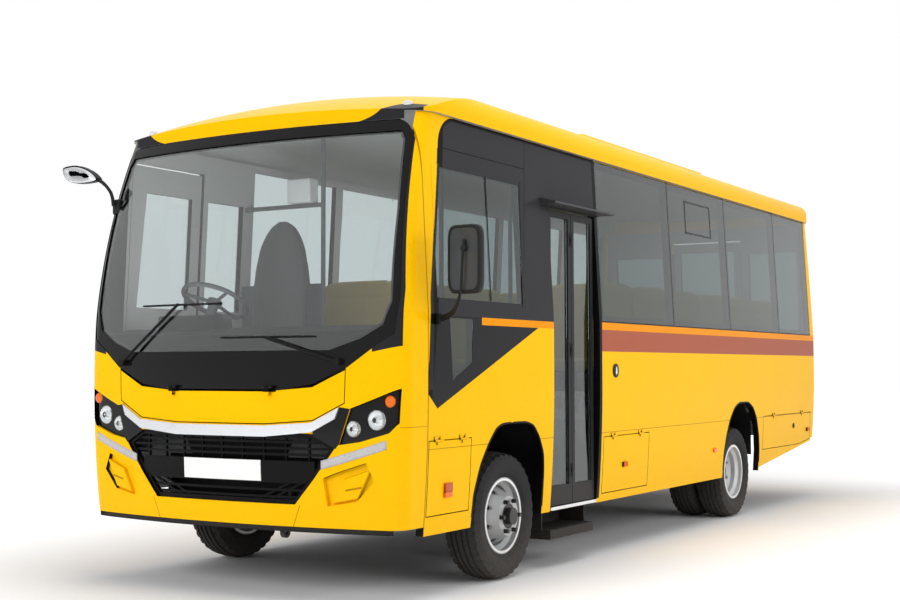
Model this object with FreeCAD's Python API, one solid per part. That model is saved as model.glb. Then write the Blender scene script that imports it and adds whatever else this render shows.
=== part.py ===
import FreeCAD, Part
import math
import os

# School bus, forward-control, entrance behind the front axle.
# Millimetres. +X is the entrance side, the nose points to -Y, +Z is up, the ground is z = 0.
os.makedirs("parts", exist_ok=True)
V = FreeCAD.Vector
UP = V(0, 0, 1)
ALONG = V(0, 1, 0)
ACROSS = V(1, 0, 0)

# Driving dimensions of the whole vehicle
OVERALL_LENGTH = 8100.0
FRONT_OVERHANG = 1410.0
WHEELBASE = 4200.0
WAIST_WIDTH = 2375.0
SKIRT_WIDTH = 2300.0
GLASS_TOP_WIDTH = 2254.0
SKIRT_Z = 370.0
TUCK_TOP_Z = 1250.0
WAIST_Z = 1632.0
CANT_Z = 2782.0
ROOF_TOP_Z = 3050.0
FLOOR_Z = 940.0
WALL = 50.0

# Clearances and cutting lengths
SEAT_GAP = 0.3
RUNNING_GAP = 8.0
SHUT_GAP = 14.0
SEAM_GAP = 0.3
OVERRUN = 60.0
FAR = 6000.0

FRONT_AXLE_Y = FRONT_OVERHANG - OVERALL_LENGTH / 2
REAR_AXLE_Y = FRONT_AXLE_Y + WHEELBASE
HALF_WAIST = WAIST_WIDTH / 2
HALF_SKIRT = SKIRT_WIDTH / 2
HALF_GLASS_TOP = GLASS_TOP_WIDTH / 2


def behind(distance):
    """Place along the vehicle, counted rearwards from the front axle."""
    return FRONT_AXLE_Y + distance


# Ends of the body: bowed in plan, curved in side view
NOSE_FACE = 1395.0
NOSE_BOW_RADIUS = 5000.0
NOSE_LOW_Z = 1200.0
NOSE_HIGH_Z = 1350.0
NOSE_LOW_SAG = 38.0
NOSE_HIGH_SAG = 300.0
CORNER_RADIUS = 120.0
TAIL_FACE = 6640.0
TAIL_BOW_RADIUS = 5000.0
TAIL_LOW_SAG = 60.0
TAIL_HIGH_SAG = 60.0
FRONT_SEAM = -1004.0
REAR_SEAM = 6330.0
CAP_SWINGS = (40.0, 43.0, 37.0)
CAP_AHEAD = 205.0


def save(name, shape):
    shape.exportStep("parts/" + name + ".step")
    print(name, "solids", len(shape.Solids), "litres", round(shape.Volume / LITRE, 2))


LITRE = 1.0e6


def line(a, b):
    return Part.makeLine(V(*a), V(*b))


def arc(a, middle, b):
    return Part.Arc(V(*a), V(*middle), V(*b)).toShape()


def face(edges):
    return Part.Face(Part.Wire(edges))


def box(x0, x1, y0, y1, z0, z1):
    return Part.makeBox(x1 - x0, y1 - y0, z1 - z0, V(x0, y0, z0))


def rod(radius, start, end):
    run = V(*end) - V(*start)
    return Part.makeCylinder(radius, run.Length, V(*start), run)


def mirrored(shape):
    """The same piece on the other side of the vehicle."""
    return shape.mirror(V(0, 0, 0), ACROSS)


def both_sides(shape):
    return Part.makeCompound([shape, mirrored(shape)])


def fuse(shapes):
    joined = shapes[0].multiFuse(shapes[1:]) if len(shapes) > 1 else shapes[0]
    return joined.removeSplitter()


def cut(shape, tools):
    return shape.cut(tools) if tools else shape


def outline_x(points, x0, x1):
    """A flat outline of (y, z) points, pushed from x0 to x1."""
    corners = [V(x0, y, z) for y, z in points]
    return Part.Face(Part.makePolygon(corners + corners[:1])).extrude(V(x1 - x0, 0, 0))


def outline_y(points, y0, y1):
    """A flat outline of (x, z) points, pushed from y0 to y1."""
    corners = [V(x, y0, z) for x, z in points]
    return Part.Face(Part.makePolygon(corners + corners[:1])).extrude(V(0, y1 - y0, 0))


def rounded_box(x0, x1, y0, y1, z0, z1, radius):
    block = box(x0, x1, y0, y1, z0, z1)
    return block.makeFillet(radius, block.Edges)


def sagitta_radius(chord, sag):
    return (chord * chord + sag * sag) / (2 * sag)


# Body section across the vehicle
def body_section(inset, y):
    """Skirt arc, upright waist and leaning windows, both sides, drawn inset from the skin."""
    tuck = HALF_WAIST - HALF_SKIRT
    radius = sagitta_radius(TUCK_TOP_Z - SKIRT_Z, tuck)
    half_turn = math.asin((TUCK_TOP_Z - SKIRT_Z) / radius) / 2
    bulge_x = HALF_WAIST - radius + radius * math.cos(half_turn)
    bulge_z = TUCK_TOP_Z - radius * math.sin(half_turn)

    def at(side, x, z):
        return (side * (x - inset), y, z)

    right = [
        arc(at(1, HALF_SKIRT, SKIRT_Z), at(1, bulge_x, bulge_z), at(1, HALF_WAIST, TUCK_TOP_Z)),
        line(at(1, HALF_WAIST, TUCK_TOP_Z), at(1, HALF_WAIST, WAIST_Z)),
        line(at(1, HALF_WAIST, WAIST_Z), at(1, HALF_GLASS_TOP, CANT_Z)),
    ]
    top = [line(at(1, HALF_GLASS_TOP, CANT_Z), at(-1, HALF_GLASS_TOP, CANT_Z))]
    left = [
        line(at(-1, HALF_GLASS_TOP, CANT_Z), at(-1, HALF_WAIST, WAIST_Z)),
        line(at(-1, HALF_WAIST, WAIST_Z), at(-1, HALF_WAIST, TUCK_TOP_Z)),
        arc(at(-1, HALF_WAIST, TUCK_TOP_Z), at(-1, bulge_x, bulge_z), at(-1, HALF_SKIRT, SKIRT_Z)),
    ]
    bottom = [line(at(-1, HALF_SKIRT, SKIRT_Z), at(1, HALF_SKIRT, SKIRT_Z))]
    return right + top + left + bottom


def body_prism(inset, y0, y1):
    return face(body_section(inset, y0)).extrude(V(0, y1 - y0, 0))


def skin_x(z, inset=0):
    """Half width of the body at a height."""
    if z < TUCK_TOP_Z:
        radius = sagitta_radius(TUCK_TOP_Z - SKIRT_Z, HALF_WAIST - HALF_SKIRT)
        drop = TUCK_TOP_Z - z
        return HALF_WAIST - radius + math.sqrt(radius * radius - drop * drop) - inset
    if z < WAIST_Z:
        return HALF_WAIST - inset
    lean = (HALF_WAIST - HALF_GLASS_TOP) / (CANT_Z - WAIST_Z)
    return HALF_WAIST - lean * (z - WAIST_Z) - inset


def side_skin(outer, inner, y0, y1, z0, z1):
    """A sheet that follows the entrance side, between two depths below the skin."""
    ring = body_prism(outer, y0, y1).cut(body_prism(inner, y0 - OVERRUN, y1 + OVERRUN))
    return ring.common(box(0, FAR, y0, y1, z0, z1))


def end_cap(inset, face_at, bow_radius, low_sag, high_sag, depth):
    """Nose or tail as one solid: the body section trimmed by a bowed face and rounded corners."""
    centre = face_at + bow_radius

    def leg(z0, z1, sag):
        radius = sagitta_radius(abs(z1 - z0), sag)
        half_turn = math.asin(abs(z1 - z0) / radius) / 2
        rise = math.copysign(radius * math.sin(half_turn), z1 - z0)
        middle = (0, face_at + inset + radius - radius * math.cos(half_turn), z0 + rise)
        return middle, (0, face_at + inset + sag, z1)

    low_middle, low_end = leg(NOSE_LOW_Z, SKIRT_Z, low_sag)
    high_middle, high_end = leg(NOSE_HIGH_Z, CANT_Z, high_sag)
    low = (0, face_at + inset, NOSE_LOW_Z)
    high = (0, face_at + inset, NOSE_HIGH_Z)
    over, under = CANT_Z + OVERRUN, SKIRT_Z - OVERRUN
    profile = face([
        line((0, low_end[1], under), low_end),
        arc(low_end, low_middle, low),
        line(low, high),
        arc(high, high_middle, high_end),
        line(high_end, (0, high_end[1], over)),
        line((0, high_end[1], over), (0, centre, over)),
        line((0, centre, over), (0, centre, under)),
        line((0, centre, under), (0, low_end[1], under)),
    ])
    prism = body_prism(inset, face_at - CAP_AHEAD, face_at + depth)
    for swing in CAP_SWINGS:
        bowed = profile.revolve(V(0, centre, 0), UP, swing)
        bowed.rotate(V(0, centre, 0), UP, -swing / 2)
        trimmed = prism.common(bowed).Solids
        if trimmed:
            break
    solid = trimmed[0]
    corners = [
        edge for edge in solid.Edges
        if edge.BoundBox.ZLength > CORNER_EDGE_MIN
        and edge.BoundBox.XLength < HALF_WAIST - HALF_GLASS_TOP + CORNER_EDGE_MIN
        and abs(edge.CenterOfMass.x) > HALF_GLASS_TOP - CORNER_RADIUS
        and edge.CenterOfMass.y < face_at + CORNER_SEARCH
    ]
    return solid.makeFillet(CORNER_RADIUS, corners)


CORNER_EDGE_MIN = 20.0
CORNER_SEARCH = 560.0
CAP_DEPTH = 800.0


def nose_cap(inset):
    return end_cap(inset, behind(-NOSE_FACE), NOSE_BOW_RADIUS, NOSE_LOW_SAG, NOSE_HIGH_SAG, CAP_DEPTH)


def tail_cap(inset):
    cap = end_cap(inset, -behind(TAIL_FACE), TAIL_BOW_RADIUS, TAIL_LOW_SAG, TAIL_HIGH_SAG, CAP_DEPTH)
    return cap.mirror(V(0, 0, 0), ALONG)


def nose_shell(outer, inner, z0, z1):
    """Part of the nose between two depths and two heights, forward of the seam."""
    shell = nose_cap(outer).cut(nose_cap(inner))
    return shell.common(box(-FAR, FAR, -FAR, behind(FRONT_SEAM), z0, z1))


def bowed_y(x, z, face_at, bow_radius, low_sag, high_sag):
    """Where a bowed end lies at a place across and up it."""
    if z < NOSE_LOW_Z:
        radius, height = sagitta_radius(NOSE_LOW_Z - SKIRT_Z, low_sag), NOSE_LOW_Z - z
    elif z > NOSE_HIGH_Z:
        radius, height = sagitta_radius(CANT_Z - NOSE_HIGH_Z, high_sag), z - NOSE_HIGH_Z
    else:
        radius, height = bow_radius, 0
    sag = radius - math.sqrt(radius * radius - height * height)
    return face_at + bow_radius - math.sqrt((bow_radius - sag) ** 2 - x * x)


def nose_y(x, z, inset=0):
    return bowed_y(x, z, behind(-NOSE_FACE) + inset, NOSE_BOW_RADIUS, NOSE_LOW_SAG, NOSE_HIGH_SAG)


# Chassis frame: two channel rails and tubes between them
RAIL_X = 372.0
RAIL_HEIGHT = 200.0
RAIL_FLANGE = 65.0
RAIL_PLATE = 7.0
RAIL_TOP_Z = 800.0
RAIL_FRONT = -1180.0
RAIL_REAR = 6480.0
CROSS_TUBE_RADIUS = 45.0
CROSS_TUBES = (-1080.0, 560.0, 1750.0, 2900.0, 3750.0, 4700.0, 6380.0)
TOW_EYE_RADIUS = 16.0
TOW_EYE_PLATE = 24.0
TOW_EYE_HALF = 34.0
TOW_EYE_FRONT = -1260.0
TOW_EYE_REAR = 6560.0
FRONT_EYE_Z = 380.0
REAR_EYE_Z = 480.0
TOW_EYE_ROOT = 120.0


def chassis_frame():
    web = RAIL_X + RAIL_FLANGE
    low = RAIL_TOP_Z - RAIL_HEIGHT
    section = [
        (RAIL_X, low), (web, low), (web, RAIL_TOP_Z), (RAIL_X, RAIL_TOP_Z),
        (RAIL_X, RAIL_TOP_Z - RAIL_PLATE), (web - RAIL_PLATE, RAIL_TOP_Z - RAIL_PLATE),
        (web - RAIL_PLATE, low + RAIL_PLATE), (RAIL_X, low + RAIL_PLATE),
    ]
    rail = fuse([outline_y(section, behind(RAIL_FRONT), behind(RAIL_REAR))] + spring_hangers())
    eyes, bores = [], []
    for into, root_y, eye_y, z in ((1, RAIL_FRONT, TOW_EYE_FRONT, FRONT_EYE_Z), (-1, RAIL_REAR, TOW_EYE_REAR, REAR_EYE_Z)):
        eyes.append(tow_eye(behind(root_y), behind(eye_y), z, into))
        bores.append(rod(TOW_EYE_RADIUS, (0, behind(eye_y), z), (FAR, behind(eye_y), z)))
    middle = RAIL_TOP_Z - RAIL_HEIGHT / 2
    inner = web - RAIL_PLATE - SEAM_GAP
    tubes = [rod(CROSS_TUBE_RADIUS, (-inner, behind(place), middle), (inner, behind(place), middle))
             for place in CROSS_TUBES]
    return Part.makeCompound([cut(fuse([rail] + eyes), bores), mirrored(rail)] + tubes)


def tow_eye(root_y, eye_y, eye_z, into):
    """Plate on the entrance-side rail, running down to a ring."""
    x0 = RAIL_X
    x1 = x0 + TOW_EYE_PLATE
    low = RAIL_TOP_Z - RAIL_HEIGHT
    root = into * TOW_EYE_ROOT
    plate = outline_x([(root_y + root, low + TOW_EYE_ROOT), (root_y + root, low), (eye_y + into * TOW_EYE_HALF,
                      eye_z), (eye_y - into * TOW_EYE_HALF, eye_z), (root_y, low + TOW_EYE_ROOT)], x0, x1)
    return fuse([plate, rod(TOW_EYE_HALF, (x0, eye_y, eye_z), (x1, eye_y, eye_z))])


# Springs, their hangers and the axles
SPRING_X = 404.0
SPRING_WIDTH = 70.0
SPRING_LEAF = 12.0
SPRING_LEAVES = 5
FRONT_SPRING_HALF = 620.0
REAR_SPRING_HALF = 690.0
LEAF_STEP_SHARE = 0.17
FRONT_SPRING_SAG = 80.0
REAR_SPRING_SAG = 30.0
SPRING_EYE_RADIUS = 24.0
HANGER_WIDTH = 60.0


def arched_leaf(centre_y, base_z, half, sag, eye):
    """One leaf: a strip bent to an arc, its ends higher than its middle."""
    radius = sagitta_radius(half, sag)
    turn = math.asin(half / radius)
    low, high = radius, radius - SPRING_LEAF

    def at(r, angle):
        return (SPRING_X - SPRING_WIDTH / 2, centre_y + r * math.sin(angle),
                base_z + radius - r * math.cos(angle))

    strip = face([
        arc(at(low, -turn), at(low, 0), at(low, turn)),
        line(at(low, turn), at(high, turn)),
        arc(at(high, turn), at(high, 0), at(high, -turn)),
        line(at(high, -turn), at(low, -turn)),
    ]).extrude(V(SPRING_WIDTH, 0, 0))
    if not eye:
        return strip
    pieces = [strip]
    for angle in (-turn, turn):
        x, y, z = at(high - SPRING_EYE_RADIUS + SPRING_LEAF, angle)
        pieces.append(rod(SPRING_EYE_RADIUS, (x, y, z), (x + SPRING_WIDTH, y, z)))
    return fuse(pieces)


def spring_eyes(centre_y, base_z, half, sag):
    radius = sagitta_radius(half, sag)
    turn = math.asin(half / radius)
    reach = radius - SPRING_EYE_RADIUS
    rise = base_z + radius - reach * math.cos(turn)
    return [(centre_y - reach * math.sin(turn), rise), (centre_y + reach * math.sin(turn), rise)]


def leaf_spring(centre_y, top_of_axle, half, sag):
    """Leaves stacked on the axle's pad, each lower one shorter."""
    leaves = []
    for number in range(SPRING_LEAVES):
        share = 1 - LEAF_STEP_SHARE * (SPRING_LEAVES - 1 - number)
        length = half * share
        leaf_sag = sag * share * share
        base = top_of_axle + SPRING_LEAF * number
        leaves.append(arched_leaf(centre_y, base, length, leaf_sag, number == SPRING_LEAVES - 1))
    return fuse(leaves)


def master_base(top_of_axle):
    return top_of_axle + SPRING_LEAF * (SPRING_LEAVES - 1)


FRONT_PAD_Z = 412.0
REAR_PAD_Z = 462.0


def spring_hangers():
    """Cheeks that reach down from the rails to the pins in the spring eyes."""
    pieces = []
    sets = (
        (behind(0), FRONT_PAD_Z, FRONT_SPRING_HALF, FRONT_SPRING_SAG),
        (REAR_AXLE_Y, REAR_PAD_Z, REAR_SPRING_HALF, REAR_SPRING_SAG),
    )
    for centre, pad, half, sag in sets:
        for y, z in spring_eyes(centre, master_base(pad), half, sag):
            for side in (-1, 1):
                edge = SPRING_X + side * (SPRING_WIDTH / 2 + SEAT_GAP + RAIL_PLATE / 2)
                x0, x1 = edge - RAIL_PLATE / 2, edge + RAIL_PLATE / 2
                top = RAIL_TOP_Z - RAIL_HEIGHT
                cheek = box(x0, x1, y - HANGER_WIDTH / 2, y + HANGER_WIDTH / 2, z - SPRING_EYE_RADIUS, top)
                pieces.append(cheek)
            half_cap = SPRING_WIDTH / 2 + SEAT_GAP + RAIL_PLATE
            cap = box(SPRING_X - half_cap, SPRING_X + half_cap, y - HANGER_WIDTH / 2, y + HANGER_WIDTH / 2,
                      top - RAIL_PLATE, top)
            pieces.append(cap)
    return pieces


KINGPIN_X = 866.0
KINGPIN_RADIUS = 18.0
KINGPIN_BOSS_RADIUS = 40.0
KINGPIN_BOSS_HALF = 44.0
AXLE_Z = 394.0
BEAM_WIDTH = 84.0
BEAM_DEPTH = 66.0
BEAM_DROP = 60.0
BEAM_FLAT_HALF = 520.0
PAD_LENGTH = 130.0
PAD_HALF_WIDTH = 46.0


def front_axle_beam():
    """Forged beam, cranked down between the springs, with an eye at each end for the kingpin."""
    top = AXLE_Z + KINGPIN_BOSS_HALF / 2
    low = top - BEAM_DEPTH
    knee = KINGPIN_X - KINGPIN_BOSS_RADIUS - BEAM_DROP
    points = [
        (-KINGPIN_X, low), (-knee, low), (-BEAM_FLAT_HALF, low - BEAM_DROP),
        (BEAM_FLAT_HALF, low - BEAM_DROP), (knee, low), (KINGPIN_X, low),
        (KINGPIN_X, top), (knee, top), (BEAM_FLAT_HALF, top - BEAM_DROP),
        (-BEAM_FLAT_HALF, top - BEAM_DROP), (-knee, top), (-KINGPIN_X, top),
    ]
    beam = outline_y(points, behind(-BEAM_WIDTH / 2), behind(BEAM_WIDTH / 2))
    pieces = [beam]
    for side in (-1, 1):
        x = side * KINGPIN_X
        pieces.append(rod(KINGPIN_BOSS_RADIUS, (x, behind(0), AXLE_Z - KINGPIN_BOSS_HALF),
                          (x, behind(0), AXLE_Z + KINGPIN_BOSS_HALF)))
        pad = side * SPRING_X
        pieces.append(box(pad - PAD_HALF_WIDTH, pad + PAD_HALF_WIDTH, behind(-PAD_LENGTH / 2),
                          behind(PAD_LENGTH / 2), top - BEAM_DROP - SEAM_GAP, FRONT_PAD_Z))
    beam = fuse(pieces)
    bores = [
        rod(KINGPIN_RADIUS + SEAT_GAP, (side * KINGPIN_X, behind(0), AXLE_Z - FAR / 2),
            (side * KINGPIN_X, behind(0), AXLE_Z + FAR / 2))
        for side in (-1, 1)
    ]
    return cut(beam, bores)


# Rear axle: a round banjo in the middle of a tube that ends in the hubs
REAR_TUBE_RADIUS = 62.0
REAR_TUBE_END = 780.0
BANJO_RADIUS = 185.0
BANJO_HALF = 95.0
BANJO_NOSE_RADIUS = 70.0
BANJO_NOSE = 290.0
SPINDLE_RADIUS = 38.0


def rear_axle():
    y, z = REAR_AXLE_Y, AXLE_Z
    tube = rod(REAR_TUBE_RADIUS, (-REAR_TUBE_END, y, z), (REAR_TUBE_END, y, z))
    banjo = rod(BANJO_RADIUS, (0, y - BANJO_HALF, z), (0, y + BANJO_HALF, z))
    banjo = banjo.makeFillet(BANJO_HALF / 2, banjo.Edges[0:1] + banjo.Edges[2:3])
    nose = Part.makeCone(BANJO_RADIUS - BANJO_HALF, BANJO_NOSE_RADIUS, BANJO_NOSE - BANJO_HALF,
                         V(0, y - BANJO_HALF, z), -ALONG)
    spindle = rod(SPINDLE_RADIUS, (-SPINDLE_END, y, z), (SPINDLE_END, y, z))
    pieces = [tube, banjo, nose, spindle]
    for side in (-1, 1):
        pad = side * SPRING_X
        pieces.append(box(pad - PAD_HALF_WIDTH, pad + PAD_HALF_WIDTH, y - PAD_LENGTH / 2,
                          y + PAD_LENGTH / 2, z, REAR_PAD_Z))
    return fuse(pieces)


def leaf_springs():
    front = leaf_spring(behind(0), FRONT_PAD_Z, FRONT_SPRING_HALF, FRONT_SPRING_SAG)
    rear = leaf_spring(REAR_AXLE_Y, REAR_PAD_Z, REAR_SPRING_HALF, REAR_SPRING_SAG)
    return Part.makeCompound([front, mirrored(front), rear, mirrored(rear)])


# Wheels: 17.5 inch steel discs, single in front and twin behind
TYRE_RADIUS = 394.0
TYRE_HALF = 117.5
TYRE_SHOULDER_HALF = 104.0
TYRE_SHOULDER_RADIUS = 378.0
TYRE_BEAD_HALF = 88.0
TYRE_BULGE_RADIUS = 305.0
TYRE_WALL = 15.0
TYRE_CROWN = 24.0
RIM_SEAT_RADIUS = 222.0
RIM_FLANGE_RADIUS = 236.0
RIM_HALF = 96.0
RIM_WELL_RADIUS = 196.0
RIM_WELL_HALF = 42.0
RIM_PLATE = 8.0
DISC_PLATE = 11.0
DISC_FACE_RADIUS = 122.0
HAND_HOLE_RADIUS = 17.0
HAND_HOLE_CIRCLE = 160.0
HAND_HOLES = 8
HUB_RADIUS = 78.0
HUB_REACH = 37.0
SPINDLE_ROOM = 24.0
HUB_CAP_RADIUS = 52.0
STUDS = 6
STUD_CIRCLE = 102.5
STUD_RADIUS = 13.0
STUD_REACH = 30.0
WHEEL_X = 1012.5
TWIN_SPACING = 265.0
DISC_OFFSET = TWIN_SPACING / 2
REAR_HUB_REACH = 130.0
SPINDLE_END = WHEEL_X - DISC_OFFSET + REAR_HUB_REACH - SPINDLE_ROOM


def turned(profile_edges, x, y):
    """A ring or disc turned about an axle that runs across the vehicle."""
    ring = face(profile_edges)
    ring.translate(V(x, y, AXLE_Z))
    return ring.revolve(V(x, y, AXLE_Z), ACROSS, 360)


def tyre(x, y):
    """Carcass with open inside: tread, two side walls and two beads."""
    seat = RIM_SEAT_RADIUS + SEAT_GAP
    inner_side = TYRE_HALF - TYRE_WALL
    inner_crown = TYRE_RADIUS - TYRE_CROWN
    inner_shoulder = TYRE_SHOULDER_HALF - TYRE_WALL
    toe = TYRE_BEAD_HALF - TYRE_CROWN

    def at(side, r):
        return (side, 0, r)

    return turned([
        line(at(-TYRE_BEAD_HALF, seat), at(-TYRE_BEAD_HALF, RIM_FLANGE_RADIUS)),
        arc(at(-TYRE_BEAD_HALF, RIM_FLANGE_RADIUS), at(-TYRE_HALF, TYRE_BULGE_RADIUS),
            at(-TYRE_SHOULDER_HALF, TYRE_SHOULDER_RADIUS)),
        arc(at(-TYRE_SHOULDER_HALF, TYRE_SHOULDER_RADIUS), at(0, TYRE_RADIUS),
            at(TYRE_SHOULDER_HALF, TYRE_SHOULDER_RADIUS)),
        arc(at(TYRE_SHOULDER_HALF, TYRE_SHOULDER_RADIUS), at(TYRE_HALF, TYRE_BULGE_RADIUS),
            at(TYRE_BEAD_HALF, RIM_FLANGE_RADIUS)),
        line(at(TYRE_BEAD_HALF, RIM_FLANGE_RADIUS), at(TYRE_BEAD_HALF, seat)),
        line(at(TYRE_BEAD_HALF, seat), at(toe, seat)),
        arc(at(toe, seat), at(inner_side, TYRE_BULGE_RADIUS),
            at(inner_shoulder, TYRE_SHOULDER_RADIUS - TYRE_CROWN)),
        arc(at(inner_shoulder, TYRE_SHOULDER_RADIUS - TYRE_CROWN), at(0, inner_crown),
            at(-inner_shoulder, TYRE_SHOULDER_RADIUS - TYRE_CROWN)),
        arc(at(-inner_shoulder, TYRE_SHOULDER_RADIUS - TYRE_CROWN), at(-inner_side, TYRE_BULGE_RADIUS),
            at(-toe, seat)),
        line(at(-toe, seat), at(-TYRE_BEAD_HALF, seat)),
    ], x, y)


def rim_barrel(x, y):
    """Rolled rim: flanges, bead seats and the well between them."""
    flange = RIM_FLANGE_RADIUS
    seat = RIM_SEAT_RADIUS
    seat_end = TYRE_BEAD_HALF - TYRE_CROWN
    points = [
        (-RIM_HALF, flange), (-TYRE_BEAD_HALF - SEAT_GAP, flange), (-TYRE_BEAD_HALF - SEAT_GAP, seat),
        (-seat_end, seat), (-RIM_WELL_HALF, RIM_WELL_RADIUS), (RIM_WELL_HALF, RIM_WELL_RADIUS),
        (seat_end, seat), (TYRE_BEAD_HALF + SEAT_GAP, seat), (TYRE_BEAD_HALF + SEAT_GAP, flange),
        (RIM_HALF, flange), (RIM_HALF, seat - RIM_PLATE), (seat_end, seat - RIM_PLATE),
        (RIM_WELL_HALF, RIM_WELL_RADIUS - RIM_PLATE), (-RIM_WELL_HALF, RIM_WELL_RADIUS - RIM_PLATE),
        (-seat_end, seat - RIM_PLATE), (-RIM_HALF, seat - RIM_PLATE),
    ]
    places = [(px, 0, r) for px, r in points]
    edges = [line(a, b) for a, b in zip(places, places[1:] + places[:1])]
    return turned(edges, x, y)


def wheel_disc(x, y, facing):
    """Pressed disc from the well to the bolt face, which stands towards the facing side."""
    well = RIM_WELL_RADIUS - RIM_PLATE / 2
    points = [
        (0, well), (DISC_OFFSET, DISC_FACE_RADIUS), (DISC_OFFSET, HUB_RADIUS),
        (DISC_OFFSET - DISC_PLATE, HUB_RADIUS), (DISC_OFFSET - DISC_PLATE, DISC_FACE_RADIUS - DISC_PLATE),
        (-DISC_PLATE, well),
    ]
    places = [(facing * px, 0, r) for px, r in points]
    edges = [line(a, b) for a, b in zip(places, places[1:] + places[:1])]
    disc = turned(edges, x, y)
    holes = []
    for number in range(HAND_HOLES):
        angle = 2 * math.pi * (number + HALF_STEP_SHARE) / HAND_HOLES
        hy = y + HAND_HOLE_CIRCLE * math.cos(angle)
        hz = AXLE_Z + HAND_HOLE_CIRCLE * math.sin(angle)
        holes.append(rod(HAND_HOLE_RADIUS, (x - FAR, hy, hz), (x + FAR, hy, hz)))
    return cut(disc, holes)


HALF_STEP_SHARE = 0.5


def hub_and_studs(bolt_x, y, reach, inner_reach):
    """Hub through the disc, its cap and the ring of studs with their nuts."""
    back = bolt_x - inner_reach
    front = bolt_x + reach
    pieces = [
        rod(HUB_RADIUS + SEAT_GAP, (back, y, AXLE_Z), (bolt_x, y, AXLE_Z)),
        rod(HUB_CAP_RADIUS, (bolt_x, y, AXLE_Z), (front, y, AXLE_Z)),
    ]
    for number in range(STUDS):
        angle = 2 * math.pi * number / STUDS
        sy = y + STUD_CIRCLE * math.cos(angle)
        sz = AXLE_Z + STUD_CIRCLE * math.sin(angle)
        pieces.append(rod(STUD_RADIUS, (bolt_x - DISC_PLATE, sy, sz), (bolt_x + STUD_REACH, sy, sz)))
    flange = bolt_x - DISC_PLATE
    pieces.append(rod(STUD_CIRCLE + 2 * STUD_RADIUS, (flange - DISC_PLATE, y, AXLE_Z), (flange, y, AXLE_Z)))
    hub = fuse(pieces)
    bore = rod(SPINDLE_RADIUS + SEAT_GAP, (back - OVERRUN, y, AXLE_Z), (front - DISC_PLATE, y, AXLE_Z))
    return hub.cut(bore)


def front_wheel():
    y = behind(0)
    bolt_x = WHEEL_X + DISC_OFFSET
    pieces = [rim_barrel(WHEEL_X, y), wheel_disc(WHEEL_X, y, 1),
              hub_and_studs(bolt_x, y, HUB_REACH, FRONT_HUB_DEPTH)]
    return fuse(pieces)


FRONT_HUB_DEPTH = 150.0


def rear_wheels():
    y = REAR_AXLE_Y
    inner_x = WHEEL_X - TWIN_SPACING
    outer_disc = WHEEL_X - DISC_OFFSET
    pieces = [
        rim_barrel(WHEEL_X, y), wheel_disc(WHEEL_X, y, -1),
        rim_barrel(inner_x, y), wheel_disc(inner_x, y, 1),
        hub_and_studs(outer_disc + DISC_PLATE, y, REAR_HUB_REACH, REAR_HUB_DEPTH),
    ]
    return fuse(pieces)


REAR_HUB_DEPTH = 90.0


# Steering knuckles: a yoke round the axle's eye, the kingpin and the stub that the wheel turns on
YOKE_PLATE = 22.0
YOKE_GAP = 5.0
YOKE_HALF_WIDTH = 45.0
STUB_FLANGE_X = 932.0
STUB_FLANGE_RADIUS = 96.0
BACKPLATE_RADIUS = 158.0
STUB_END = 1158.0
ARM_REACH = 190.0
ARM_DROP = 40.0
ARM_RADIUS = 16.0
TIE_EYE_RADIUS = 22.0
TIE_EYE_HALF = 16.0
TIE_PIN_RADIUS = 9.0
TIE_ROD_RADIUS = 15.0


def arm_end(side):
    return (side * KINGPIN_X, behind(ARM_REACH), AXLE_Z - ARM_DROP - KINGPIN_BOSS_HALF)


def knuckle():
    """Entrance side. The yoke's ears sit above and below the axle's eye."""
    y, z = behind(0), AXLE_Z
    ear = KINGPIN_BOSS_HALF + YOKE_GAP
    back = KINGPIN_X + KINGPIN_BOSS_RADIUS + YOKE_GAP
    pieces = []
    for low in (z + ear, z - ear - YOKE_PLATE):
        pieces.append(rod(KINGPIN_BOSS_RADIUS, (KINGPIN_X, y, low), (KINGPIN_X, y, low + YOKE_PLATE)))
        pieces.append(box(KINGPIN_X, back + YOKE_PLATE, y - YOKE_HALF_WIDTH + YOKE_GAP,
                          y + YOKE_HALF_WIDTH - YOKE_GAP, low, low + YOKE_PLATE))
    pieces.append(box(back, back + YOKE_PLATE, y - YOKE_HALF_WIDTH, y + YOKE_HALF_WIDTH,
                      z - ear - YOKE_PLATE, z + ear + YOKE_PLATE))
    pieces.append(rod(KINGPIN_RADIUS, (KINGPIN_X, y, z - ear - YOKE_PLATE), (KINGPIN_X, y, z + ear + YOKE_PLATE)))
    pieces.append(rod(STUB_FLANGE_RADIUS, (back, y, z), (STUB_FLANGE_X, y, z)))
    pieces.append(rod(BACKPLATE_RADIUS, (STUB_FLANGE_X - DISC_PLATE, y, z), (STUB_FLANGE_X, y, z)))
    pieces.append(rod(SPINDLE_RADIUS, (back, y, z), (STUB_END, y, z)))
    end_x, end_y, end_z = arm_end(1)
    root_z = z - ear - YOKE_PLATE / 2
    pieces.append(rod(ARM_RADIUS, (KINGPIN_X, y + YOKE_HALF_WIDTH / 2, root_z), (end_x, end_y, end_z)))
    pieces.append(rod(TIE_EYE_RADIUS, (end_x, end_y, end_z - TIE_EYE_HALF), (end_x, end_y, end_z + TIE_EYE_HALF)))
    pin_low = end_z - TIE_EYE_HALF - 2 * TIE_EYE_HALF - 2 * YOKE_GAP
    pieces.append(rod(TIE_PIN_RADIUS, (end_x, end_y, pin_low), (end_x, end_y, end_z)))
    return fuse(pieces)


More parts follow.
